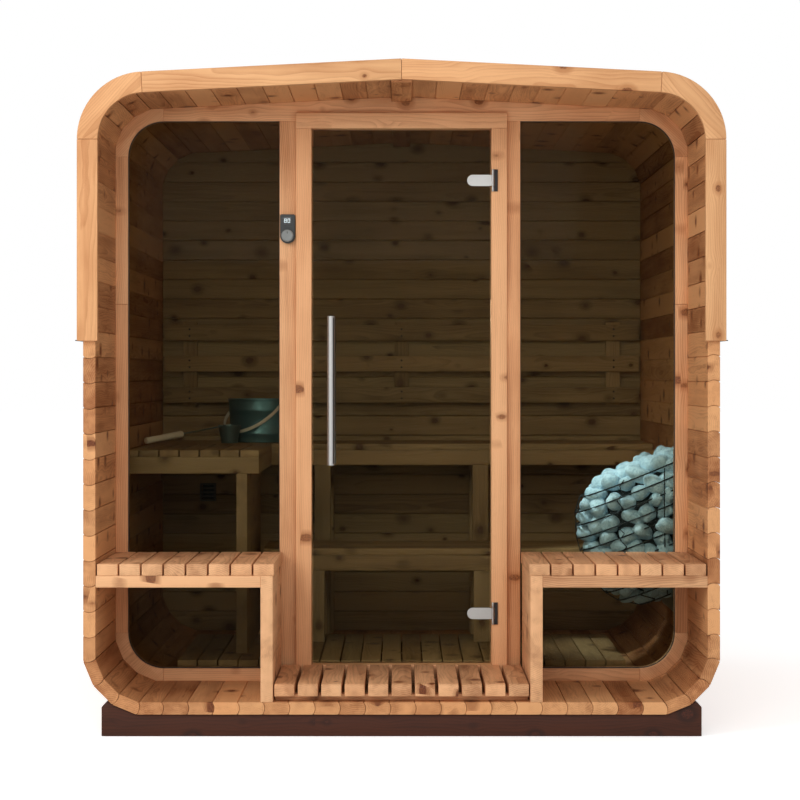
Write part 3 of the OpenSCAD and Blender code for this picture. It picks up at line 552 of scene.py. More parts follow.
def timber_group():
    """Softwood with year rings round a wandering pith, knots, streaks and fine fibres."""
    tree, w, given, out = shader_group("Timber", {
        "Pale": (0.7, 0.45, 0.25, 1), "Dark": (0.4, 0.2, 0.08, 1), "Knot": (0.14, 0.06, 0.025, 1),
        "Tone Spread": 0.5, "Knot Share": 0.5, "Ring Width": 0.0055})
    along, across, through = w.split(w.attribute("grain")["Vector"])
    board = w.attribute("board")["Fac"]
    chance = w.wire(w.add("ShaderNodeTexWhiteNoise", noise_dimensions="1D"),
                    W=w.times(board, 113.7))
    luck = w.split(chance.outputs["Color"])
    along = w.plus(along, w.times(board, 97.0))
    place = w.join(along, across, through)

    def drawn_out(lengthways, sideways, *more):
        """Noise that is stretched along the fibres."""
        return w.noise(w.join(w.times(along, lengthways), w.times(across, sideways),
                              w.times(through, sideways)), 1.0, *more)

    # Knots: one chance for each stretch of a board
    stretch, strip, layer = 0.26, 0.09, 0.05
    cell = w.join(w.math("DIVIDE", along, stretch),
                  w.plus(w.math("DIVIDE", across, strip), w.times(board, 31.0)),
                  w.math("DIVIDE", through, layer))
    cells = w.wire(w.add("ShaderNodeTexVoronoi", voronoi_dimensions="3D", feature="F1"),
                   Vector=cell, Scale=1.0).outputs
    away = w.vector_math("MULTIPLY", w.vector_math("SUBTRACT", cell, cells["Position"]),
                         (stretch * 0.8, strip, layer * 0.45))
    side = w.split(away)[1]
    distance = w.plus(w.vector_math("LENGTH", away, output="Value"),
                      w.swing(w.noise(place, 90.0, 1.0), 0.004))
    odds = w.split(cells["Color"])
    present = w.math("LESS_THAN", odds[0], given["Knot Share"])
    radius = w.times(present, w.plus(0.006, w.times(odds[1], 0.012)))
    knot = w.math("DIVIDE", w.minus(radius, distance), 0.003, clamp=True)
    halo = w.math("DIVIDE", w.minus(w.times(radius, 2.1), distance), 0.014, clamp=True)
    pull = w.math("EXPONENT", w.times(w.times(distance, distance), -900.0))
    shift = w.times(w.times(side, pull), w.times(present, -0.9))
    # Year rings: distance to a pith that wanders along the board
    wander_a = w.swing(w.line_noise(along, 1.3), 0.05)
    wander_b = w.swing(w.line_noise(w.plus(along, 40.0), 1.1), 0.04)
    ring_a = w.plus(w.minus(across, w.swing(luck[0], 0.10)), wander_a, shift)
    ring_b = w.plus(through, w.plus(0.018, w.times(luck[1], 0.07)), wander_b)
    reach = w.math("SQRT", w.plus(w.times(ring_a, ring_a), w.times(ring_b, ring_b)))
    phase = w.math("FRACT", w.plus(w.math("DIVIDE", reach, given["Ring Width"]),
                                   w.times(drawn_out(5.0, 14.0), 2.0)))
    late = w.times(w.math("POWER", phase, 2.2), w.ramp(phase, 0.93, 1.0, 1.0, 0.0))
    # Streaks and fibres run with the board
    streak = drawn_out(1.6, 26.0, 4.0, 0.6)
    cloud = w.noise(w.join(w.times(along, 3.0), w.times(across, 7.0), through), 1.0)
    fibre = drawn_out(14.0, 520.0, 3.0, 0.7)
    depth = w.plus(w.times(late, 0.42), w.swing(streak, 1.1), w.swing(cloud, 0.8),
                   w.swing(fibre, 0.25), 0.12, w.swing(luck[2], given["Tone Spread"]))
    color = w.mix(w.math("MULTIPLY", depth, 1.0, clamp=True), given["Pale"], given["Dark"])
    warm = w.times(w.math("FRACT", w.times(board, 7.31)), 0.35)
    color = w.mix(warm, color, w.mix(1.0, color, (1.0, 0.80, 0.66, 1), "MULTIPLY"))
    color = w.mix(w.times(halo, 0.6), color, given["Dark"])
    knot_tone = w.mix(w.ramp(w.noise(place, 260.0), 0.35, 0.7), given["Knot"], given["Dark"])
    color = w.mix(w.times(knot, w.ramp(odds[2], 0.0, 1.0, 0.7, 1.0)), color, knot_tone)
    height = w.plus(w.times(late, 0.5), w.times(fibre, 0.35))
    w.wire(out, Color=color, Height=w.minus(height, w.times(halo, 0.4)),
           Roughness=w.minus(w.plus(0.5, w.times(fibre, 0.2)), w.times(knot, 0.12)))
    return tree


def grit_group():
    """Fine speckle for felt, moulded plastic and paint."""
    tree, w, given, out = shader_group("Grit", {
        "Color": (0.1, 0.1, 0.1, 1), "Size": 0.0015, "Contrast": 0.3, "Patches": 0.2})
    place = w.object_space()
    speck = w.noise(place, w.math("DIVIDE", 1.0, given["Size"]), 2.0, 0.6)
    patch = w.noise(place, 3.5, 3.0, 0.6)
    gain = w.plus(1.0, w.swing(speck, w.times(given["Contrast"], 4.0)),
                  w.swing(patch, given["Patches"]),
                  w.times(w.attribute("board")["Fac"], given["Patches"]))
    w.wire(out, Color=w.mix(1.0, given["Color"], w.join(gain, gain, gain), "MULTIPLY"),
           Roughness=w.ramp(speck, 0.3, 0.7, 0.55, 0.8), Height=speck)
    return tree


def brushed_group():
    """Long fine scratches on steel, with a little smudging."""
    tree, w, given, out = shader_group("Brushed", {
        "Color": (0.6, 0.6, 0.6, 1), "Lengthways": (1.0, 1.0, 0.02), "Rough": 0.3})
    place = w.object_space()
    scratch = w.noise(w.vector_math("MULTIPLY", place, given["Lengthways"]), 2600.0, 3.0, 0.7)
    smudge = w.noise(place, 14.0, 3.0, 0.6)
    gain = w.ramp(scratch, 0.25, 0.75, 0.86, 1.08)
    w.wire(out, Color=w.mix(1.0, given["Color"], w.join(gain, gain, gain), "MULTIPLY"),
           Roughness=w.plus(given["Rough"], w.swing(scratch, 0.22), w.swing(smudge, 0.14)),
           Height=scratch)
    return tree


def stone_group():
    """Pale blue-grey stone, with painted shade in the hollows of its bump."""
    tree, w, given, out = shader_group("Stone", {
        "Pale": (0.6, 0.8, 0.8, 1), "Dark": (0.2, 0.3, 0.3, 1)})
    place = w.object_space()
    cloud = w.noise(place, 22.0, 4.0, 0.65)
    grains = w.noise(place, 420.0, 3.0, 0.7)
    pits = w.noise(place, 120.0)
    # The pits term darkens the low parts of the bump: painted shade in the hollows. The cloud and each
    # stone's tone are its own colour.
    dim = w.plus(w.ramp(cloud, 0.3, 0.72, 0.0, 0.55), w.ramp(pits, 0.35, 0.5, 0.28, 0.0),
                 w.times(w.attribute("board")["Fac"], 0.3))
    dim = w.math("ADD", dim, w.swing(grains, 0.5), clamp=True)
    w.wire(out, Color=w.mix(dim, given["Pale"], given["Dark"]),
           Roughness=w.ramp(grains, 0.3, 0.7, 0.75, 0.95),
           Height=w.plus(w.times(pits, 0.7), w.times(grains, 0.4)))
    return tree


def new_material(name):
    """Empty material, its wiring and its Principled shader."""
    made = bpy.data.materials.new(name)
    made.use_nodes = True
    return made, Wiring(made.node_tree), made.node_tree.nodes["Principled BSDF"]


def material(name, group, values, bump=0.2, depth=0.0006, **settings):
    """Principled material that takes colour, roughness and bump from a node group."""
    made, w, shader = new_material(name)
    effect = w.add("ShaderNodeGroup", node_tree=group)
    for key, value in values.items():
        effect.inputs[key].default_value = value
    relief = w.wire(w.add("ShaderNodeBump"), Strength=bump, Distance=depth,
                    Height=effect.outputs["Height"])
    w.wire(shader, Base_Color=effect.outputs["Color"], Roughness=effect.outputs["Roughness"],
           Normal=relief.outputs["Normal"], **settings)
    return made


def linear(color):
    """Linear colour from display values of 0 to 255."""
    parts = [c / 255 for c in color]
    return tuple(p / 12.92 if p <= 0.04045 else ((p + 0.055) / 1.055) ** 2.4 for p in parts) + (1.0,)


def glass_material(name, tint):
    """Bronze tinted pane that lets lamps through."""
    made, w, shader = new_material(name)
    smear = w.noise(w.object_space(), 2.5, 3.0, 0.6)
    w.wire(shader, Base_Color=tint, Transmission_Weight=1.0, IOR=1.07,
           Roughness=w.ramp(smear, 0.45, 0.8, 0.0, 0.012))
    clear = w.wire(w.add("ShaderNodeBsdfTransparent"), Color=(0.92, 0.90, 0.86, 1))
    shadow = w.add("ShaderNodeLightPath").outputs["Is Shadow Ray"]
    w.surface(w.fill(w.add("ShaderNodeMixShader"), shadow, shader.outputs[0], clear.outputs[0]))
    return made


def timber(look, name, pale, dark, spread, knots, ring, bump=0.3):
    return material(name, tree_named("Timber", timber_group), {
        "Pale": tuple(pale), "Dark": tuple(dark), "Knot": tuple(look.knot_color),
        "Tone Spread": spread, "Knot Share": knots, "Ring Width": ring}, bump,
        Specular_IOR_Level=0.25)


def gritty(name, color, size, contrast, patches, bump, depth=0.0002, **settings):
    return material(name, tree_named("Grit", grit_group), {
        "Color": linear(color), "Size": size, "Contrast": contrast, "Patches": patches},
        bump, depth, **settings)


def brushed(name, color, lengthways, rough, bump, metallic):
    return material(name, tree_named("Brushed", brushed_group), {
        "Color": color, "Lengthways": lengthways, "Rough": rough}, bump, 0.0001,
        Metallic=metallic)


def make_materials(look):
    """Every finish of the object, by the record's slot or the name of a small part."""
    upright, level = (0.02, 0.02, 1), (1, 0.02, 1)
    woods = {
        "stave_pine": ("Stave pine", look.stave_pale, look.stave_dark, 1.05, look.knot_share,
                       0.0062),
        "slat_pine": ("Slat pine", look.frame_pale, look.stave_dark, 0.5, 0.6, 0.0062),
        "edge_pine": ("Edge pine", look.edge_pale, look.edge_dark, 0.2, 0.4, 0.007, 0.2),
        "frame_pine": ("Frame pine", look.frame_pale, look.frame_dark, 0.35, 0.62, 0.0065, 0.2),
        "indoor_wood": ("Indoor wood", look.indoor_pale, look.indoor_dark, 0.6, 0.7, 0.0065),
        "stained_wood": ("Stained wood", look.stain_pale, look.stain_dark, 0.25, 0.8, 0.012, 0.35),
        "bail_wood": ("Bail wood", linear((255, 246, 228)), linear((226, 210, 184)), 0.1, 0.0,
                      0.004, 0.15),
        "grip_wood": ("Grip wood", linear((255, 244, 222)), linear((232, 212, 180)), 0.1, 0.1,
                      0.005, 0.15),
    }
    return {
        **{slot: timber(look, *values) for slot, values in woods.items()},
        "roof_felt": gritty("Roof felt", (62, 63, 66), 0.0016, 0.5, 0.35, 0.6, 0.0012),
        "drip_metal": gritty("Drip metal", (34, 34, 35), 0.0008, 0.12, 0.1, 0.1, Metallic=0.4),
        "dark_fitting": gritty("Dark fitting", (26, 26, 27), 0.0006, 0.15, 0.1, 0.15),
        "panel_plastic": gritty("Panel plastic", (52, 56, 56), 0.0005, 0.15, 0.08, 0.15),
        "knob_plastic": gritty("Knob plastic", (132, 137, 136), 0.0005, 0.1, 0.08, 0.1),
        "vent_plastic": gritty("Vent plastic", (98, 90, 78), 0.0006, 0.15, 0.1, 0.15),
        "cage_steel": gritty("Cage steel", (44, 52, 54), 0.0006, 0.2, 0.2, 0.2, Metallic=0.5),
        "display": gritty("Display", (12, 13, 14), 0.0005, 0.05, 0.05, 0.02, 0.0001,
                          Coat_Weight=1.0),
        "digits": gritty("Digits", (214, 226, 228), 0.0004, 0.04, 0.04, 0.02, 0.0001,
                         Emission_Color=linear((200, 220, 224)), Emission_Strength=0.5),
        "satin_steel": brushed("Satin steel", (0.40, 0.40, 0.39, 1), (1, 1, 0.02), 0.46, 0.06, 1.0),
        "plate_steel": brushed("Plate steel", (0.42, 0.46, 0.46, 1), level, 0.38, 0.08, 1.0),
        "pail_metal": brushed("Pail metal", linear((112, 150, 156)), upright, 0.38, 0.08, 0.75),
        "ladle_metal": brushed("Ladle metal", linear((128, 150, 150)), upright, 0.34, 0.08, 0.85),
        "sauna_stone": material("Sauna stone", tree_named("Stone", stone_group), {
            "Pale": linear((206, 238, 255)), "Dark": linear((104, 140, 158))}, 0.7, 0.003),
        "tinted_glass": glass_material("Tinted glass", tuple(look.glass_tint) + (1,)),
    }


MATERIALS = {}


def finish(name):
    if not MATERIALS:
        MATERIALS.update(make_materials(bpy.context.scene.sauna_look))
    return MATERIALS[name]


# ---- Sizes and colours ----

def color_property(label, text, value):
    return bpy.props.FloatVectorProperty(name=label, description=text, size=4, subtype="COLOR",
                                         min=0, max=1, default=linear(value))


def length_property(label, text, value):
    return bpy.props.FloatProperty(name=label, description=text, default=value, min=0.0001,
                                   unit="LENGTH", subtype="DISTANCE")


class SaunaSizes(bpy.types.PropertyGroup):
    """Sizes of the detail that is worked into the frame."""
    stave_cover: length_property("Stave cover", "Width that one stave covers", 0.085)
    bead: length_property("Bead", "How far a stave's round edge enters the next stave", 0.007)
    joint: length_property("Joint", "Open gap in a joint between two staves", 0.0013)
    groove: length_property("Groove", "Chamfer beside each joint", 0.0026)
    plank: length_property("Plank", "Height of one plank of the back wall", 0.085)
    board_edge: length_property("Board edge", "Rounding on the edges of boards", 0.0022)
    slat_edge: length_property("Slat edge", "Rounding on the edges of seat slats", 0.0028)
    shingle_row: length_property("Shingle row", "Height of roof covering that a row shows", 0.145)
    shingle_tab: length_property("Shingle tab", "Width of one shingle tab", 0.207)
    stone_gap: length_property("Stone gap", "Least distance between the middles of stones", 0.056)
    stone_size: length_property("Stone size", "Half length of a middle-sized stone", 0.047)
    gasket: length_property("Gasket", "Width of the seal round a pane", 0.0025)


class SaunaLook(bpy.types.PropertyGroup):
    """Colours of the finishes."""
    stave_pale: color_property("Stave pale", "Early wood of the staves", (224, 167, 115))
    stave_dark: color_property("Stave dark", "Late wood of the staves", (134, 76, 38))
    edge_pale: color_property("Edge pale", "Early wood of the edge boards", (228, 176, 126))
    edge_dark: color_property("Edge dark", "Late wood of the edge boards", (172, 110, 64))
    frame_pale: color_property("Frame pale", "Early wood of the front frames", (234, 182, 135))
    frame_dark: color_property("Frame dark", "Late wood of the front frames", (164, 102, 58))
    indoor_pale: color_property("Indoor pale", "Early wood of the benches", (176, 146, 104))
    indoor_dark: color_property("Indoor dark", "Late wood of the benches", (108, 80, 48))
    stain_pale: color_property("Stain pale", "Lighter parts of the stained beams", (68, 33, 17))
    stain_dark: color_property("Stain dark", "Darker parts of the stained beams", (24, 9, 4))
    knot_color: color_property("Knot", "Heart of the knots", (84, 38, 18))
    glass_tint: bpy.props.FloatVectorProperty(
        name="Glass tint", description="Colour that the panes let through, at each face", size=3,
        subtype="COLOR", min=0, max=1, default=(0.46, 0.47, 0.40))
    knot_share: bpy.props.FloatProperty(
        name="Knot share", description="Share of stave stretches that have a knot", default=0.8,
        min=0, max=1, subtype="FACTOR")
    ambient: bpy.props.FloatProperty(
        name="Ambient", description="Strength of the even light from all around", default=0.62,
        min=0)
    key_watts: bpy.props.FloatProperty(
        name="Key lamp", description="Power of the lamp in front, high on the left", default=112.0,
        min=0, unit="POWER")


def sizes():
    return bpy.context.scene.sauna_sizes


class SaunaPiece:
    """What every operator here shares."""
    bl_options = {"REGISTER", "UNDO"}


# ---- Stage ----

class SAUNA_OT_stage(SaunaPiece, bpy.types.Operator):
    """Set up the pale floor, the soft light and the camera"""
    bl_idname = "sauna.stage"
    bl_label = "Stage"

    def execute(self, context):
        look = context.scene.sauna_look
        self.world(context.scene, look)
        self.floor()
        aim, daylight = Vector((0, 0, 1.1)), (1.0, 0.985, 0.96)
        self.lamp("Key", "AREA", Vector((-3.9, -4.4, 3.4)), aim, look.key_watts * 0.8, daylight,
                  size=2.4)
        self.lamp("Fill", "AREA", Vector((-0.8, -8.2, 4.2)), aim, look.key_watts * 1.35, daylight,
                  size=4.5)
        low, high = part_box("heater_stones")
        above_heater = Vector((low.x - 0.31, low.y - 0.01, high.z + 0.60))
        self.lamp("Heater lamp", "SPOT", above_heater, (low + high) / 2, 95, (0.80, 0.93, 1.0),
                  spot_size=math.radians(44), spot_blend=0.7, shadow_soft_size=0.12)
        self.camera(context.scene)
        context.scene.view_settings.view_transform = "Standard"
        return {"FINISHED"}

    def world(self, scene, look):
        scene.world = bpy.data.worlds.new("Studio")
        scene.world.use_nodes = True
        w = Wiring(scene.world.node_tree)
        w.wire(scene.world.node_tree.nodes["Background"], Color=(1, 1, 1, 1),
               Strength=w.ramp(self.seen(w), 0.0, 1.0, look.ambient, 1.0))

    def seen(self, w):
        """1 on rays from the camera and on those that metal and glass send on."""
        path = w.add("ShaderNodeLightPath").outputs
        seen = w.math("MAXIMUM", path["Is Camera Ray"], path["Is Glossy Ray"])
        return w.math("MAXIMUM", seen, path["Is Transmission Ray"])

    def floor(self):
        bm = new_shape()
        bmesh.ops.create_grid(bm, x_segments=2, y_segments=2, size=60)
        made, w, shader = new_material("Pale floor")
        tone = w.mix(w.noise(w.object_space(), 0.4), (0.95, 0.95, 0.95, 1), (0.97, 0.97, 0.97, 1))
        w.wire(shader, Base_Color=tone, Roughness=0.9, Specular_IOR_Level=0.0)
        glow = w.wire(w.add("ShaderNodeEmission"), Strength=w.times(self.seen(w), 0.46))
        w.surface(w.fill(w.add("ShaderNodeAddShader"), shader.outputs[0], glow.outputs[0]))
        add_object("floor", bm, made)

    def lamp(self, name, kind, place, aim, watts, color, **settings):
        data = bpy.data.lights.new(name, kind)
        data.energy = watts
        data.color = color
        for key, value in settings.items():
            setattr(data, key, value)
        obj = link(name, data)
        obj.location = place
        obj.rotation_euler = (aim - place).to_track_quat("-Z", "Y").to_euler()

    def camera(self, scene):
        data = bpy.data.cameras.new("Camera")
        data.sensor_width = 36
        data.lens = 92.65
        data.shift_x, data.shift_y = -0.002, -0.03125
        obj = link("Camera", data)
        obj.location = (0, -8.035, 1.231)
        obj.rotation_euler = (QUARTER, 0, 0)
        scene.camera = obj


# ---- Shell ----

class Ring:
    """Corner points of the shell's outside, each with its inside point, going round."""

    def __init__(self):
        names = ("floor_staves", "wall_staves_left", "wall_staves_right", "lower_corner_staves",
                 "upper_corner_staves", "ceiling_staves")
        points = {tuple(round(c, 4) for c in p) for node in names for p in flat_points(node)}
        points = [Vector(p) for p in sorted(points)]
        self.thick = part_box("floor_staves")[1].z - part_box("floor_staves")[0].z
        outer = [points[i] for i in geometry.convex_hull_2d(points)]
        inner = [p for p in points if all((p - o).length > 1e-3 for o in outer)]
        middle = Vector((0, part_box("wall_staves_left")[0].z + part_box("wall_staves_left")[1].z)) / 2
        outer.sort(key=lambda p: math.atan2((p - middle).x, -(p - middle).y))
        self.pairs = [(o, min(inner, key=lambda q: (q - o).length)) for o in outer]

    def stretches(self):
        """Straight stretches, each with its two end pairs, its length and the node it is part of."""
        for start, end in zip(self.pairs, self.pairs[1:] + self.pairs[:1]):
            length = (end[0] - start[0]).length
            middle = (end[0] + start[0]) / 2
            node = self.node_at(middle)
            if node:
                yield start, end, length, node

    def node_at(self, point):
        if abs(point.x) < 1e-3 and point.y > 1:
            return None
        for node in ("floor_staves", "wall_staves_left", "wall_staves_right", "ceiling_staves"):
            low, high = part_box(node)
            inside = low.x - MM < point.x < high.x + MM and low.z - MM < point.y < high.z + MM
            spread = Vector((high.x - low.x, high.z - low.z))
            if inside and (node != "ceiling_staves" or abs(point.x) < spread.x / 2 * 0.97):
                return node
        return "lower_corner_staves" if point.y < 1 else "upper_corner_staves"


def joint_line(outer, inner, forward, sizes_now, steps=6):
    """Curved joint from the outside to the inside of the shell."""
    thick = (inner - outer).length
    inward = (inner - outer) / thick
    line = []
    for i in range(steps + 1):
        depth = sizes_now.groove + (thick - 2 * sizes_now.groove) * i / steps
        bulge = 1 - (2 * depth / thick - 1) ** 2
        line.append(outer + inward * depth + forward * sizes_now.bead * bulge)
    return line


def stave_outline(start, end, sizes_now):
    """Outline of one stave between two joints, with chamfered corners."""
    forward = (end[0] - start[0]).normalized()
    gap = forward * sizes_now.joint / 2
    chamfer = forward * sizes_now.groove
    near = [p + gap for p in joint_line(*start, forward, sizes_now)]
    far = [p - gap for p in joint_line(*end, forward, sizes_now)]
    return ([start[0] + chamfer, end[0] - chamfer] + far
            + [end[1] - chamfer, start[1] + chamfer] + list(reversed(near)))


class SAUNA_OT_shell(SaunaPiece, bpy.types.Operator):
    """Build the staves of the floor, walls, corners and ceiling, and the ridge stave"""
    bl_idname = "sauna.shell"
    bl_label = "Shell staves"

    def execute(self, context):
        ring = Ring()
        rng = random.Random(11)
        parts = {}
        for number, (start, end, length, node) in enumerate(ring.stretches()):
            parts.setdefault(node, []).extend(
                self.stretch(ring, start, end, length, node, number, rng))
        for node, objects in parts.items():
            finish_piece(objects, node + "_beaded", "root", "stave_pine", node)
        low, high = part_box("ridge_stave")
        bm = box_mesh(low, high, sizes().board_edge)
        lay_grain(bm, list(bm.verts), Y, 0.37)
        root_piece(bm, "ridge_stave_softened", "stave_pine", "ridge_stave")
        return {"FINISHED"}

    def stretch(self, ring, start, end, length, node, number, rng):
        count = max(1, round(length / sizes().stave_cover))
        forward = (end[0] - start[0]).normalized()
        inward = Vector((-forward.y, forward.x)) * ring.thick
        marks = [start]
        for i in range(1, count):
            outer = start[0].lerp(end[0], i / count)
            marks.append((outer, outer + inward))
        marks.append(end)
        objects = []
        singles = range(count) if count < 4 else (0, count - 1)
        for i in singles:
            bm = self.stave(marks[i], marks[i + 1], forward, rng.random())
            objects.append(add_object(f"{node}_{number}_{i}", bm, finish("stave_pine")))
        if count >= 4:
            step = forward * length / count
            places = [(step.x * i, 0, step.y * i) for i in range(count - 2)]
            bm = self.stave(marks[1], marks[2], forward, 0.5)
            objects.append(repeated(bm, f"{node}_{number}", places, finish("stave_pine"),
                                    number + 5))
        return objects

    def stave(self, start, end, forward, tone):
        low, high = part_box("floor_staves")
        bm = prism(stave_outline(start, end, sizes()), low.y, high.y, 1.2 * MM)
        lay_grain(bm, list(bm.verts), Y, tone, Vector((forward.y, 0, -forward.x)))
        return bm


class SAUNA_OT_back_wall(SaunaPiece, bpy.types.Operator):
    """Build the back wall of level planks and its vent"""
    bl_idname = "sauna.back_wall"
    bl_label = "Back wall"

    def execute(self, context):
        rng = random.Random(23)
        low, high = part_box("back_wall")
        count = round((high.z - low.z) / sizes().plank)
        pitch = (high.z - low.z) / count
        parts = []
        for i in range(count):
            foot, head = low.z + i * pitch, low.z + (i + 1) * pitch
            bm = self.plank(foot + sizes().joint, head - sizes().joint)
            for group in islands(bm):
                lay_grain(bm, group, X, rng.random(), Y)
            parts.append(add_object(f"plank_{i}", bm, finish("indoor_wood")))
        parts.append(self.tongues(rng))
        finish_piece(parts, "back_wall_planks", "root", "indoor_wood", "back_wall")
        self.vent()
        return {"FINISHED"}

    def plank(self, foot, head):
        bm = bare_copy("back_wall")
        for height, keep_above in ((foot, True), (head, False)):
            cut = bmesh.ops.bisect_plane(
                bm, geom=bm.verts[:] + bm.edges[:] + bm.faces[:], plane_co=(0, 0, height),
                plane_no=Z, clear_inner=keep_above, clear_outer=not keep_above)
            edges = [e for e in cut["geom_cut"] if isinstance(e, bmesh.types.BMEdge)]
            bmesh.ops.holes_fill(bm, edges=[e for e in edges if e.is_boundary])
        bmesh.ops.recalc_face_normals(bm, faces=bm.faces)
        soften(bm, 3 * MM, 1, math.radians(60))
        return bm

    def tongues(self, rng):
        """Closed layer inside the planks that stands for the tongues in their joints."""
        bm = bare_copy("back_wall")
        low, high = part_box("back_wall")
        middle = (low + high) / 2
        for vert in bm.verts:
            vert.co.y = middle.y + (vert.co.y - middle.y) * 0.4
            vert.co.x *= 1 - 2 * MM
        lay_grain(bm, list(bm.verts), X, rng.random(), Y)
        return add_object("tongues", bm, finish("indoor_wood"))

    def vent(self):
        """Moulded louvre, and a plate that closes the duct behind it, in a near-black finish that is
        painted shade for the inside of the duct.
        """
        bm = bare_copy("air_vent")
        soften(bm, 0.8 * MM)
        root_piece(bm, "air_vent_moulded", "vent_plastic", "air_vent")
        low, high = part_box("air_vent")
        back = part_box("back_wall")[1].y
        rim, depth, thick = 4 * MM, 3 * MM, MM
        # The plate's near-black finish is painted shade: it stands for the dark inside of the duct.
        shade_plate = box_mesh(Vector((low.x + rim, back - depth, low.z + rim)),
                          Vector((high.x - rim, back - depth + thick, high.z - rim)), 0)
        root_piece(shade_plate, "air_vent_screen", "vent_plastic", look="dark_fitting")


# ---- Roof ----

class Slope:
    """The covering's outside as a path from the lower left, over the ridge, to the lower right."""

    def __init__(self):
        points = flat_points("roof_covering")
        hull = [points[i] for i in geometry.convex_hull_2d(points)]
        low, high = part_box("roof_covering")
        hull = [p for p in hull if p.y > low.z + MM or abs(p.x) > high.x - MM]
        hull = [p for p in hull if abs(p.x) > MM or p.y > high.z - MM]
        below = Vector((0, low.z - 0.1))
        hull.sort(key=lambda p: -math.atan2((p - below).y, (p - below).x))
        self.points = hull
        self.lengths = [0.0]
        for a, b in zip(hull, hull[1:]):
            self.lengths.append(self.lengths[-1] + (b - a).length)
        self.half = self.lengths[-1] / 2

    def at(self, way, depth):
        """Point at a length along the path and a depth under the outside."""
        way = min(max(way, 0.0), self.lengths[-1])
        i = 0
        while i < len(self.points) - 2 and self.lengths[i + 1] < way:
            i += 1
        a, b = self.points[i], self.points[i + 1]
        share = (way - self.lengths[i]) / max(self.lengths[i + 1] - self.lengths[i], 1e-9)
        along = (b - a).normalized()
        return a.lerp(b, share) + Vector((along.y, -along.x)) * depth


class SAUNA_OT_roof(SaunaPiece, bpy.types.Operator):
    """Lay the shingles and their ridge cap, and soften the drip edges"""
    bl_idname = "sauna.roof"
    bl_label = "Roof"
    thick = 3.4 * MM                 # of a shingle
    cap = 3 * MM                     # thickness left for the ridge cap
    gap = 2.5 * MM                   # half the slot between two tabs
    least = 20 * MM                  # shorter pieces of shingle are left out

    def execute(self, context):
        slope = Slope()
        rng = random.Random(31)
        bm = new_shape()
        low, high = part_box("roof_covering")
        self.low, self.high = low.y + MM, high.y - MM
        self.underlay(bm, slope)
        for side in SIDES:
            for row in range(math.ceil(slope.half / sizes().shingle_row)):
                self.course(bm, slope, side, row, rng)
        self.ridge(bm, slope, rng)
        root_piece(outward(bm), "roof_shingles", "roof_felt", "roof_covering")
        bm = bare_copy("drip_edges")
        soften(bm, 0.5 * MM)
        root_piece(bm, "drip_edges_folded", "drip_metal", "drip_edges")
        return {"FINISHED"}

    def slab(self, bm, tops, unders, y0, y1, tone):
        """Bent slab between two rows of (x, z) points and two depths."""
        board = grain_layers(bm)[1]
        rings = [ring_at(bm, tops + unders[::-1], y) for y in (y0, y1)]
        for vert in rings[0] + rings[1]:
            vert[board] = tone
        loft(bm, rings)

    def underlay(self, bm, slope):
        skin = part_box("roof_covering")[1].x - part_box("wall_staves_right")[1].x
        steps = 160
        ways = [slope.half * 2 * i / steps for i in range(steps + 1)]
        for a, b in zip(ways, ways[1:]):
            self.slab(bm, [slope.at(w, self.cap + 3 * self.thick) for w in (a, b)],
                      [slope.at(w, skin - 0.2 * MM) for w in (a, b)], self.low, self.high, 0.4)

    def course(self, bm, slope, side, row, rng):
        rise = sizes().shingle_row
        start = row * rise
        end = min(start + rise * 1.12, slope.half)
        if end - start < self.least:
            return
        bends = 7
        shares = [i / bends for i in range(bends + 1)]
        ways = [start + (end - start) * s for s in shares]
        depths = [self.cap + self.thick * 1.15 * s for s in shares]
        if side > 0:
            ways = [2 * slope.half - way for way in ways]
        tops = [slope.at(w, d) for w, d in zip(ways, depths)]
        unders = [slope.at(w, d + self.thick) for w, d in zip(ways, depths)]
        tab = sizes().shingle_tab
        y = self.low - (tab / 2 if row % 2 else 0)
        while y < self.high:
            y0, y1 = max(y + self.gap, self.low), min(y + tab - self.gap, self.high)
            if y1 - y0 > self.least:
                self.slab(bm, tops, unders, y0, y1, rng.random())
            y += tab

    def ridge(self, bm, slope, rng):
        reach, count = 0.15, 14
        pitch = (self.high - self.low) / count
        for i in range(count):
            ways = [slope.half + reach * s for s in (-1, -0.5, 0, 0.5, 1)]
            tops = [slope.at(w, 0.3 * MM) for w in ways]
            unders = [slope.at(w, self.cap) for w in ways]
            self.slab(bm, tops, unders, self.low + i * pitch + MM, self.low + (i + 1) * pitch - MM,
                      rng.random())


def bent_or_straight(low, high):
    """Fibre direction of an edge board: slanting through a corner piece, else lengthways."""
    size = high - low
    if size.x > 0.1 and size.z > 0.1 and min(size.x, size.z) / max(size.x, size.z) > 0.5:
        return Vector((-1 if low.x > 0 else 1, 0, 1))
    return longest(low, high)


class SAUNA_OT_edge_boards(SaunaPiece, bpy.types.Operator):
    """Build the pale boards round the front and back edges of the roof"""
    bl_idname = "sauna.edge_boards"
    bl_label = "Edge boards"

    def execute(self, context):
        rng = random.Random(41)
        for node in ("front_edge_boards", "back_edge_boards"):
            wood_piece(node, "softened", "edge_pine", rng, bent_or_straight)
        return {"FINISHED"}


class SAUNA_OT_cradle(SaunaPiece, bpy.types.Operator):
    """Build the stained beams that the sauna stands on"""
    bl_idname = "sauna.cradle"
    bl_label = "Cradle beams"

    def execute(self, context):
        wood_piece("cradle_beams", "planed", "stained_wood", random.Random(43),
                   lambda low, high: X, 3 * MM)
        return {"FINISHED"}


# ---- Front wall ----

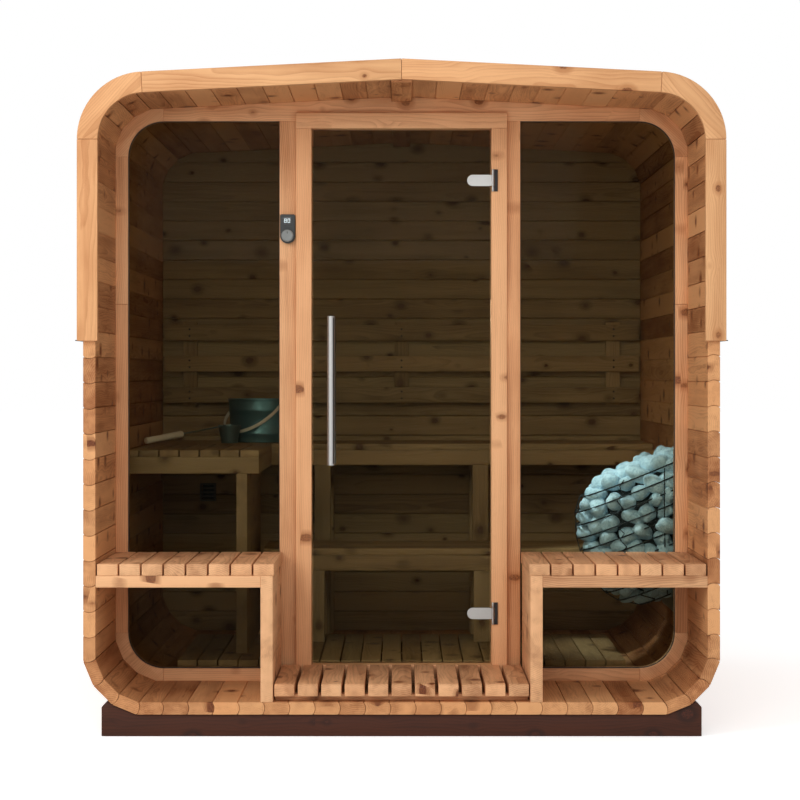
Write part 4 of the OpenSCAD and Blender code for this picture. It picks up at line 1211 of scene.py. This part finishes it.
class SAUNA_OT_front_wall(SaunaPiece, bpy.types.Operator):
    """Build the rails, corners, mullions and door frame of the front wall"""
    bl_idname = "sauna.front_wall"
    bl_label = "Front wall"

    def execute(self, context):
        rng = random.Random(53)
        nodes = ("front_header", "front_bottom_rails", "mullion_left", "mullion_right",
                 "door_frame_left", "door_frame_right", "door_frame_head", "door_sill",
                 "front_corners")
        for node in nodes:
            wood_piece(node, "planed", "frame_pine", rng, bent_or_straight)
        self.side_rails(rng)
        return {"FINISHED"}

    def side_rails(self, rng):
        """Each side rail is two lengths with a joint in its upper part."""
        joint_share, half_gap = 0.69, 0.4 * MM
        parts = []
        for low, high in island_boxes("front_side_rails"):
            joint = low.z + (high.z - low.z) * joint_share
            for foot, head in ((low.z, joint - half_gap), (joint + half_gap, high.z)):
                bm = box_mesh(Vector((low.x, low.y, foot)), Vector((high.x, high.y, head)),
                              sizes().board_edge)
                lay_grain(bm, list(bm.verts), Z, rng.random())
                parts.append(add_object("rail", bm, finish("frame_pine")))
        finish_piece(parts, "front_side_rails_planed", "root", "frame_pine", "front_side_rails")


class SAUNA_OT_glazing(SaunaPiece, bpy.types.Operator):
    """Glaze the windows and the door, and run the dark seals round the fixed panes"""
    bl_idname = "sauna.glazing"
    bl_label = "Glazing"

    def execute(self, context):
        paint("tinted_glass", "window_left", "window_right", "door_glass")
        for node in ("window_left", "window_right"):
            self.seal(node)
        return {"FINISHED"}

    def seal(self, node):
        points = flat_points(node)
        loop = anticlockwise(points[i] for i in geometry.convex_hull_2d(points))
        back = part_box(node)[0].y
        front = back - 3 * MM
        bm = new_shape()
        rings = [ring_at(bm, inset(loop, by), y) for y, by in (
            (back, 0.0), (front, 0.0), (front, sizes().gasket), (back, sizes().gasket + MM))]
        loft(bm, rings, capped=False)
        root_piece(outward(bm), node + "_seal", "dark_fitting")


class SAUNA_OT_door_fittings(SaunaPiece, bpy.types.Operator):
    """Finish the pull handle and the hinges"""
    bl_idname = "sauna.door_fittings"
    bl_label = "Door fittings"

    def execute(self, context):
        paint("satin_steel", "hinge_leaves", "door_handle")
        self.hinge_bases()
        self.inlays()
        return {"FINISHED"}

    def hinge_bases(self):
        """Black plate on the frame beside a satin barrel."""
        bm = bare_copy("hinge_bases")
        soften(bm, 0.5 * MM)
        piece = root_piece(bm, "hinge_bases_two_tone", "dark_fitting", "hinge_bases")
        piece.data.materials.append(finish("satin_steel"))
        plate = 12.5 * MM
        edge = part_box("hinge_bases")[1].x - plate
        for polygon in piece.data.polygons:
            polygon.material_index = 1 if polygon.center.x < edge else 0

    def inlays(self):
        """Dark strip let into the face of each handle tube, towards the hinge side."""
        low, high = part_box("door_handle")
        radius = (high.x - low.x) / 2
        middle = (low.x + high.x) / 2
        turn, spread = math.radians(38), math.radians(9)
        proud, sunk, end = 0.35 * MM, 0.6 * MM, 6 * MM
        corners = [(turn + step * spread, radius + proud) for step in (-1, 0, 1)]
        corners += [(turn + step * spread, radius - sunk) for step in (1, 0, -1)]
        parts = []
        for centre_y, facing in ((low.y + radius, -1), (high.y - radius, 1)):
            bm = new_shape()
            outline = [Vector((middle + r * math.sin(angle), centre_y + facing * r * math.cos(angle)))
                       for angle, r in corners]
            loft(bm, [[bm.verts.new((*point, z)) for point in outline]
                      for z in (low.z + end, high.z - end)])
            parts.append(add_object("inlay", outward(bm), finish("dark_fitting")))
        finish_piece(parts, "handle_inlays", "door", "dark_fitting")


# ---- Control panel ----

SEGMENTS = {"0": "abcdef", "8": "abcdefg"}      # lit bars of each digit
BARS = {"a": (0, 2, 1, 2), "b": (1, 1, 1, 2), "c": (1, 0, 1, 1), "d": (0, 0, 1, 0),
        "e": (0, 0, 0, 1), "f": (0, 1, 0, 2), "g": (0, 1, 1, 1)}


class SAUNA_OT_control(SaunaPiece, bpy.types.Operator):
    """Build the control panel with its display, and the knob"""
    bl_idname = "sauna.control"
    bl_label = "Control panel"

    def execute(self, context):
        low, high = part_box("control_panel")
        knob_low, knob_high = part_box("control_knob")
        bm = bare_copy("control_panel")
        soften(bm, 2.5 * MM, 3)
        root_piece(bm, "control_panel_body", "panel_plastic", "control_panel")
        middle = (low.x + high.x) / 2
        face = knob_high.y + MM
        half, foot, head, proud = 17 * MM, 38 * MM, 10 * MM, 1.2 * MM
        screen_low = Vector((middle - half, face - proud, high.z - foot))
        screen_high = Vector((middle + half, face + MM, high.z - head))
        root_piece(box_mesh(screen_low, screen_high, 0.8 * MM), "control_display",
                   "panel_plastic", look="display")
        digits = [self.digit(text, middle + shift, screen_low.z + 8 * MM, screen_low.y)
                  for text, shift in (("8", -11 * MM), ("0", 1.5 * MM))]
        finish_piece(digits, "control_digits", "root", "panel_plastic")
        self.knob(knob_low, knob_high)
        return {"FINISHED"}

    def digit(self, text, left, foot, face):
        width, height, line, proud, edge = 7 * MM, 6.5 * MM, 0.9 * MM, 0.3 * MM, 0.2 * MM
        parts = []
        for name in SEGMENTS[text]:
            x0, z0, x1, z1 = BARS[name]
            low = Vector((left + x0 * width - line, face - proud, foot + z0 * height - line))
            high = Vector((left + x1 * width + line, face + proud, foot + z1 * height + line))
            parts.append(add_object("segment", box_mesh(low, high, edge, 1), finish("digits")))
        return join(parts)

    def knob(self, low, high):
        """Ribbed knob with a domed face and a pointer line."""
        radius = (high.x - low.x) / 2
        length = high.y - low.y
        centre = (low + high) / 2
        ribs, rib_height = 24, 1.04
        profile = [(0, 0), (radius * 0.86, 0), (radius * 0.93, 0.8 * MM), (radius * 0.955, 2 * MM),
                   (radius * 0.955, length - 4 * MM), (radius * 0.9, length - 1.6 * MM),
                   (radius * 0.78, length - 0.3 * MM), (radius * 0.7, length - 0.9 * MM),
                   (0, length - 0.4 * MM)]
        bm = turned(profile)
        for vert in bm.verts:
            angle = math.atan2(vert.co.y, vert.co.x)
            if vert.co.xy.length > radius * 0.94 and math.cos(ribs * angle) > 0:
                vert.co.xy *= rib_height
        turn = Matrix.Rotation(QUARTER, 4, "X")
        bm.transform(Matrix.Translation((centre.x, high.y, centre.z)) @ turn)
        half, sunk, depth = 0.9 * MM, 0.25 * MM, 2 * MM
        line = box_mesh(Vector((centre.x - half, low.y + sunk, centre.z + radius * 0.3)),
                        Vector((centre.x + half, low.y + depth, centre.z + radius * 0.68)),
                        0.15 * MM, 1)
        parts = [add_object("knob", bm, finish("knob_plastic")),
                 add_object("pointer", line, finish("dark_fitting"))]
        finish_piece(parts, "control_knob_ribbed", "control_knob", "knob_plastic", "control_knob")


# ---- Porch and inside woodwork ----

def nosed(low, high):
    """Slat with a well rounded upper front edge."""
    bm = box_mesh(low, high, 0)
    front = [e for e in bm.edges
             if all(abs(v.co.y - low.y) < MM and abs(v.co.z - high.z) < MM for v in e.verts)]
    bmesh.ops.bevel(bm, geom=front, offset=14 * MM, segments=6, profile=0.5, affect="EDGES")
    soften(bm, sizes().slat_edge * 0.7, 2, math.radians(50))
    return bm


class SAUNA_OT_porch(SaunaPiece, bpy.types.Operator):
    """Build the porch benches and the step"""
    bl_idname = "sauna.porch"
    bl_label = "Porch"

    def execute(self, context):
        wood = finish("slat_pine")
        finish_piece(slats("porch_seats", wood, sizes().slat_edge, 61, segments=3),
                     "porch_seat_slats", "root", "stave_pine", "porch_seats")
        finish_piece(slats("step_slats", wood, 0, 67, nosed), "step_nosed_slats", "root",
                     "stave_pine", "step_slats")
        rng = random.Random(71)
        for node in ("porch_bench_rails", "porch_panel_left", "porch_panel_right",
                     "step_bearers"):
            wood_piece(node, "planed", "stave_pine", rng, look="slat_pine")
        return {"FINISHED"}


class SAUNA_OT_benches(SaunaPiece, bpy.types.Operator):
    """Build the inside benches, the backrest with its screws, and the duckboard"""
    bl_idname = "sauna.benches"
    bl_label = "Benches"

    def execute(self, context):
        wood = finish("indoor_wood")
        for seed, node in enumerate(("upper_bench", "lower_bench", "side_bench", "backrest",
                                     "duckboard")):
            finish_piece(slats(node, wood, sizes().slat_edge * 0.8, 83 + 7 * seed),
                         node + "_slats", "root", "indoor_wood", node)
        rng = random.Random(97)
        for node in ("bench_aprons", "bench_battens", "bench_posts", "side_bench_panel",
                     "backrest_battens", "duckboard_bearers"):
            wood_piece(node, "planed", "indoor_wood", rng)
        self.screws()
        return {"FINISHED"}

    def screws(self):
        """Two countersunk screws where each backrest board crosses a batten."""
        places = [((low.x + high.x) / 2, foot.y, foot.z + (head.z - foot.z) * share)
                  for foot, head in island_boxes("backrest")
                  for low, high in island_boxes("backrest_battens") for share in (0.28, 0.72)]
        profile = ((0, 0.2), (3.6, 0.2), (4.2, 0.5), (4.2, 0.9), (2.2, 0.6), (0, -0.6))
        bm = turned([(radius * MM, height * MM) for radius, height in profile], 16)
        bm.transform(Matrix.Rotation(QUARTER, 4, "X"))
        heads = repeated(bm, "screws", places, finish("cage_steel"), 5)
        finish_piece([heads], "backrest_screws", "root", "cage_steel")


# ---- Heater, pail and ladle ----

# Length, width and height of each kind of stone, against a middle-sized one
STONES = ((1.25, 0.86, 0.80), (1.08, 0.94, 0.84), (1.42, 0.84, 0.74), (1.0, 0.96, 0.88))


def stone(number, stretch):
    """Rounded, slightly flattened stone with worn corners."""
    bm = new_shape()
    bmesh.ops.create_icosphere(bm, subdivisions=3, radius=1)
    shift = Vector((number * 7.3, number * 3.1, number * 5.7))
    for vert in bm.verts:
        co = vert.co.copy()
        square = max(abs(c) for c in co)
        co *= 1 + 0.18 * (1 / square - 1)
        co *= 0.9 + 0.20 * noise.noise(co * 1.1 + shift) + 0.05 * noise.noise(co * 3 + shift)
        vert.co = Vector([c * s for c, s in zip(co, stretch)]) * sizes().stone_size * 0.9
    return bm


class SAUNA_OT_heater(SaunaPiece, bpy.types.Operator):
    """Pile the stones, and build the cage and wall plate of the heater"""
    bl_idname = "sauna.heater"
    bl_label = "Heater"

    def execute(self, context):
        self.pile()
        self.core()
        self.uprights()
        paint("cage_steel", "heater_cage")
        paint("plate_steel", "heater_plate")
        return {"FINISHED"}

    def pile(self):
        look = finish("sauna_stone")
        kinds = [add_object(f"stone_{i}", stone(i, stretch), look)
                 for i, stretch in enumerate(STONES)]
        skin = add_object("pile", bare_copy("heater_stones"), look)
        grown(skin, tree_named("Stone Pile", pile_tree), Spacing=sizes().stone_gap,
              Depth=sizes().stone_size * 0.62, Seed=7, Smallest=0.78, Largest=1.06, Material=look,
              **{f"Stone_{i}": kind for i, kind in enumerate(kinds)})
        for kind in kinds:
            bpy.data.objects.remove(kind)
        skin.data.polygons.foreach_set("use_smooth", [True] * len(skin.data.polygons))
        finish_piece([skin], "heater_stone_pile", "root", "sauna_stone", "heater_stones",
                     smooth=False)

    def core(self):
        """Painted shade between the outer stones: a shrunk copy of the pile in dark cage steel stands
        for the shaded stones deeper in the pile.
        """
        share, clear = 0.80, 8 * MM
        bm = bare_copy("heater_stones")
        low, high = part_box("heater_stones")
        middle = Vector((high.x, (low.y + high.y) / 2, (low.z + high.z) / 2))
        for vert in bm.verts:
            vert.co = middle + (vert.co - middle) * share
            vert.co.x = min(vert.co.x, high.x - clear)
        bmesh.ops.triangulate(bm, faces=bm.faces)
        # The dark cage steel finish of this shrunk pile is painted shade in the gaps between the
        # stones.
        root_piece(bm, "heater_core", "cage_steel")

    def uprights(self):
        """Upright bars outside the rings, each following the bulge of the pile."""
        low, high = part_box("heater_cage")
        centre = Vector((high.x, (low.y + high.y) / 2))
        parts = []
        for degrees in (12, 50, 90, 130, 168):
            turn = math.radians(degrees)
            way = Vector((-math.sin(turn), -math.cos(turn)))
            rows = {}
            for co in node_points("heater_cage"):
                spot = co.xy - centre
                if spot.length < 0.03 or spot.normalized().dot(way) < 0.995:
                    continue
                row = round(co.z, 2)
                if row not in rows or spot.length > rows[row][0]:
                    rows[row] = (spot.length, co.z)
            if len(rows) < 3:
                raise RuntimeError("the cage has too few rings to carry its uprights")
            path = [Vector((*(centre + way * (reach + MM)), z))
                    for reach, z in sorted(rows.values(), key=lambda r: r[1])]
            parts.append(add_object("upright", tube(path, 2 * MM), finish("cage_steel")))
        finish_piece(parts, "heater_uprights", "root", "cage_steel")


class SAUNA_OT_pail(SaunaPiece, bpy.types.Operator):
    """Build the pail with its bail, and the ladle with its grip"""
    bl_idname = "sauna.pail"
    bl_label = "Pail and ladle"

    def execute(self, context):
        self.pail()
        wood_piece("pail_bail", "bent", "bail_wood", random.Random(3),
                   lambda low, high: Vector((1, 1, 0.6)), 0.6 * MM)
        paint("ladle_metal", "ladle")
        wood_piece("ladle_grip", "turned", "grip_wood", random.Random(4), bevel=4 * MM)
        return {"FINISHED"}

    def pail(self):
        """Spun wall with a rolled rim, two raised bands and an ear each side."""
        verts = node_points("pail")
        low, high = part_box("pail")
        rim = [v for v in verts if v.z > high.z - MM]
        centre = span(rim)[0].lerp(span(rim)[1], 0.5)
        top = max((v.xy - centre.xy).length for v in rim)
        base = max((v.xy - centre.xy).length for v in verts if v.z < low.z + MM)
        tall = high.z - low.z
        wall, sunk = 3 * MM, 1.5 * MM

        def at(share, inwards=0.0):
            """Point of the outside at a share of the height."""
            return base + (top - base) * share - inwards, tall * share

        outside = [(0, 0), at(0, 4 * MM), (at(0)[0] - MM, 2 * MM)]
        for band in (0.20, 0.74):
            outside += [at(band - 0.045, sunk), at(band - 0.03), at(band + 0.03),
                        at(band + 0.045, sunk)]
        outside += [at(0.95, sunk), (top, tall * 0.965), (top, tall - MM), (top - MM, tall),
                    (top - wall - MM, tall), (top - wall - sunk, tall * 0.96),
                    (at(0.02)[0] - wall - MM, wall), (0, wall)]
        bm = turned(outside, 64)
        bm.transform(Matrix.Translation((centre.x, centre.y, low.z)))
        parts = [add_object("wall", bm, finish("pail_metal")), *self.ears(verts, centre.xy, top)]
        finish_piece(parts, "pail_spun", "root", "pail_metal", "pail")

    def ears(self, verts, centre, top):
        """Round ears that carry the bail, at the bail's own ends."""
        reach, radius, sides = 4 * MM, 6 * MM, 20
        low, high = span(v for v in verts if (v.xy - centre).length > top + MM)
        middle = Vector((*centre, (low.z + high.z) / 2))
        for way in SIDES:
            end = max(node_points("pail_bail"), key=lambda v: way * (v.x - v.y))
            out = Vector((math.copysign(1, end.x - centre.x), math.copysign(1, end.y - centre.y), 0))
            out.normalize()
            bar = tube([middle + out * (top - reach), middle + out * (top + reach)], radius, sides)
            yield add_object("ear", bar, finish("pail_metal"))


# ---- Panel and running order ----

CLASSES = (SaunaSizes, SaunaLook, SAUNA_OT_stage, SAUNA_OT_shell, SAUNA_OT_back_wall,
           SAUNA_OT_roof, SAUNA_OT_edge_boards, SAUNA_OT_cradle, SAUNA_OT_front_wall,
           SAUNA_OT_glazing, SAUNA_OT_door_fittings, SAUNA_OT_control, SAUNA_OT_porch,
           SAUNA_OT_benches, SAUNA_OT_heater, SAUNA_OT_pail)
STEPS = [c for c in CLASSES if issubclass(c, bpy.types.Operator)]


class SAUNA_PT_tools(bpy.types.Panel):
    """Sizes, colours and pieces of the sauna"""
    bl_idname = "SAUNA_PT_tools"
    bl_label = "Outdoor Sauna"
    bl_space_type = "VIEW_3D"
    bl_region_type = "UI"
    bl_category = "Sauna"

    def draw(self, context):
        for step in STEPS:
            self.layout.operator(step.bl_idname)
        for group in (context.scene.sauna_sizes, context.scene.sauna_look):
            box = self.layout.box()
            for name in group.__annotations__:
                box.prop(group, name)


def register():
    for item in CLASSES + (SAUNA_PT_tools,):
        bpy.utils.register_class(item)
    bpy.types.Scene.sauna_sizes = bpy.props.PointerProperty(type=SaunaSizes)
    bpy.types.Scene.sauna_look = bpy.props.PointerProperty(type=SaunaLook)


def unregister():
    del bpy.types.Scene.sauna_look
    del bpy.types.Scene.sauna_sizes
    for item in reversed(CLASSES + (SAUNA_PT_tools,)):
        bpy.utils.unregister_class(item)


def main():
    register()
    for step in STEPS:
        group, name = step.bl_idname.split(".")
        getattr(getattr(bpy.ops, group), name)()


if __name__ == "__main__":
    main()
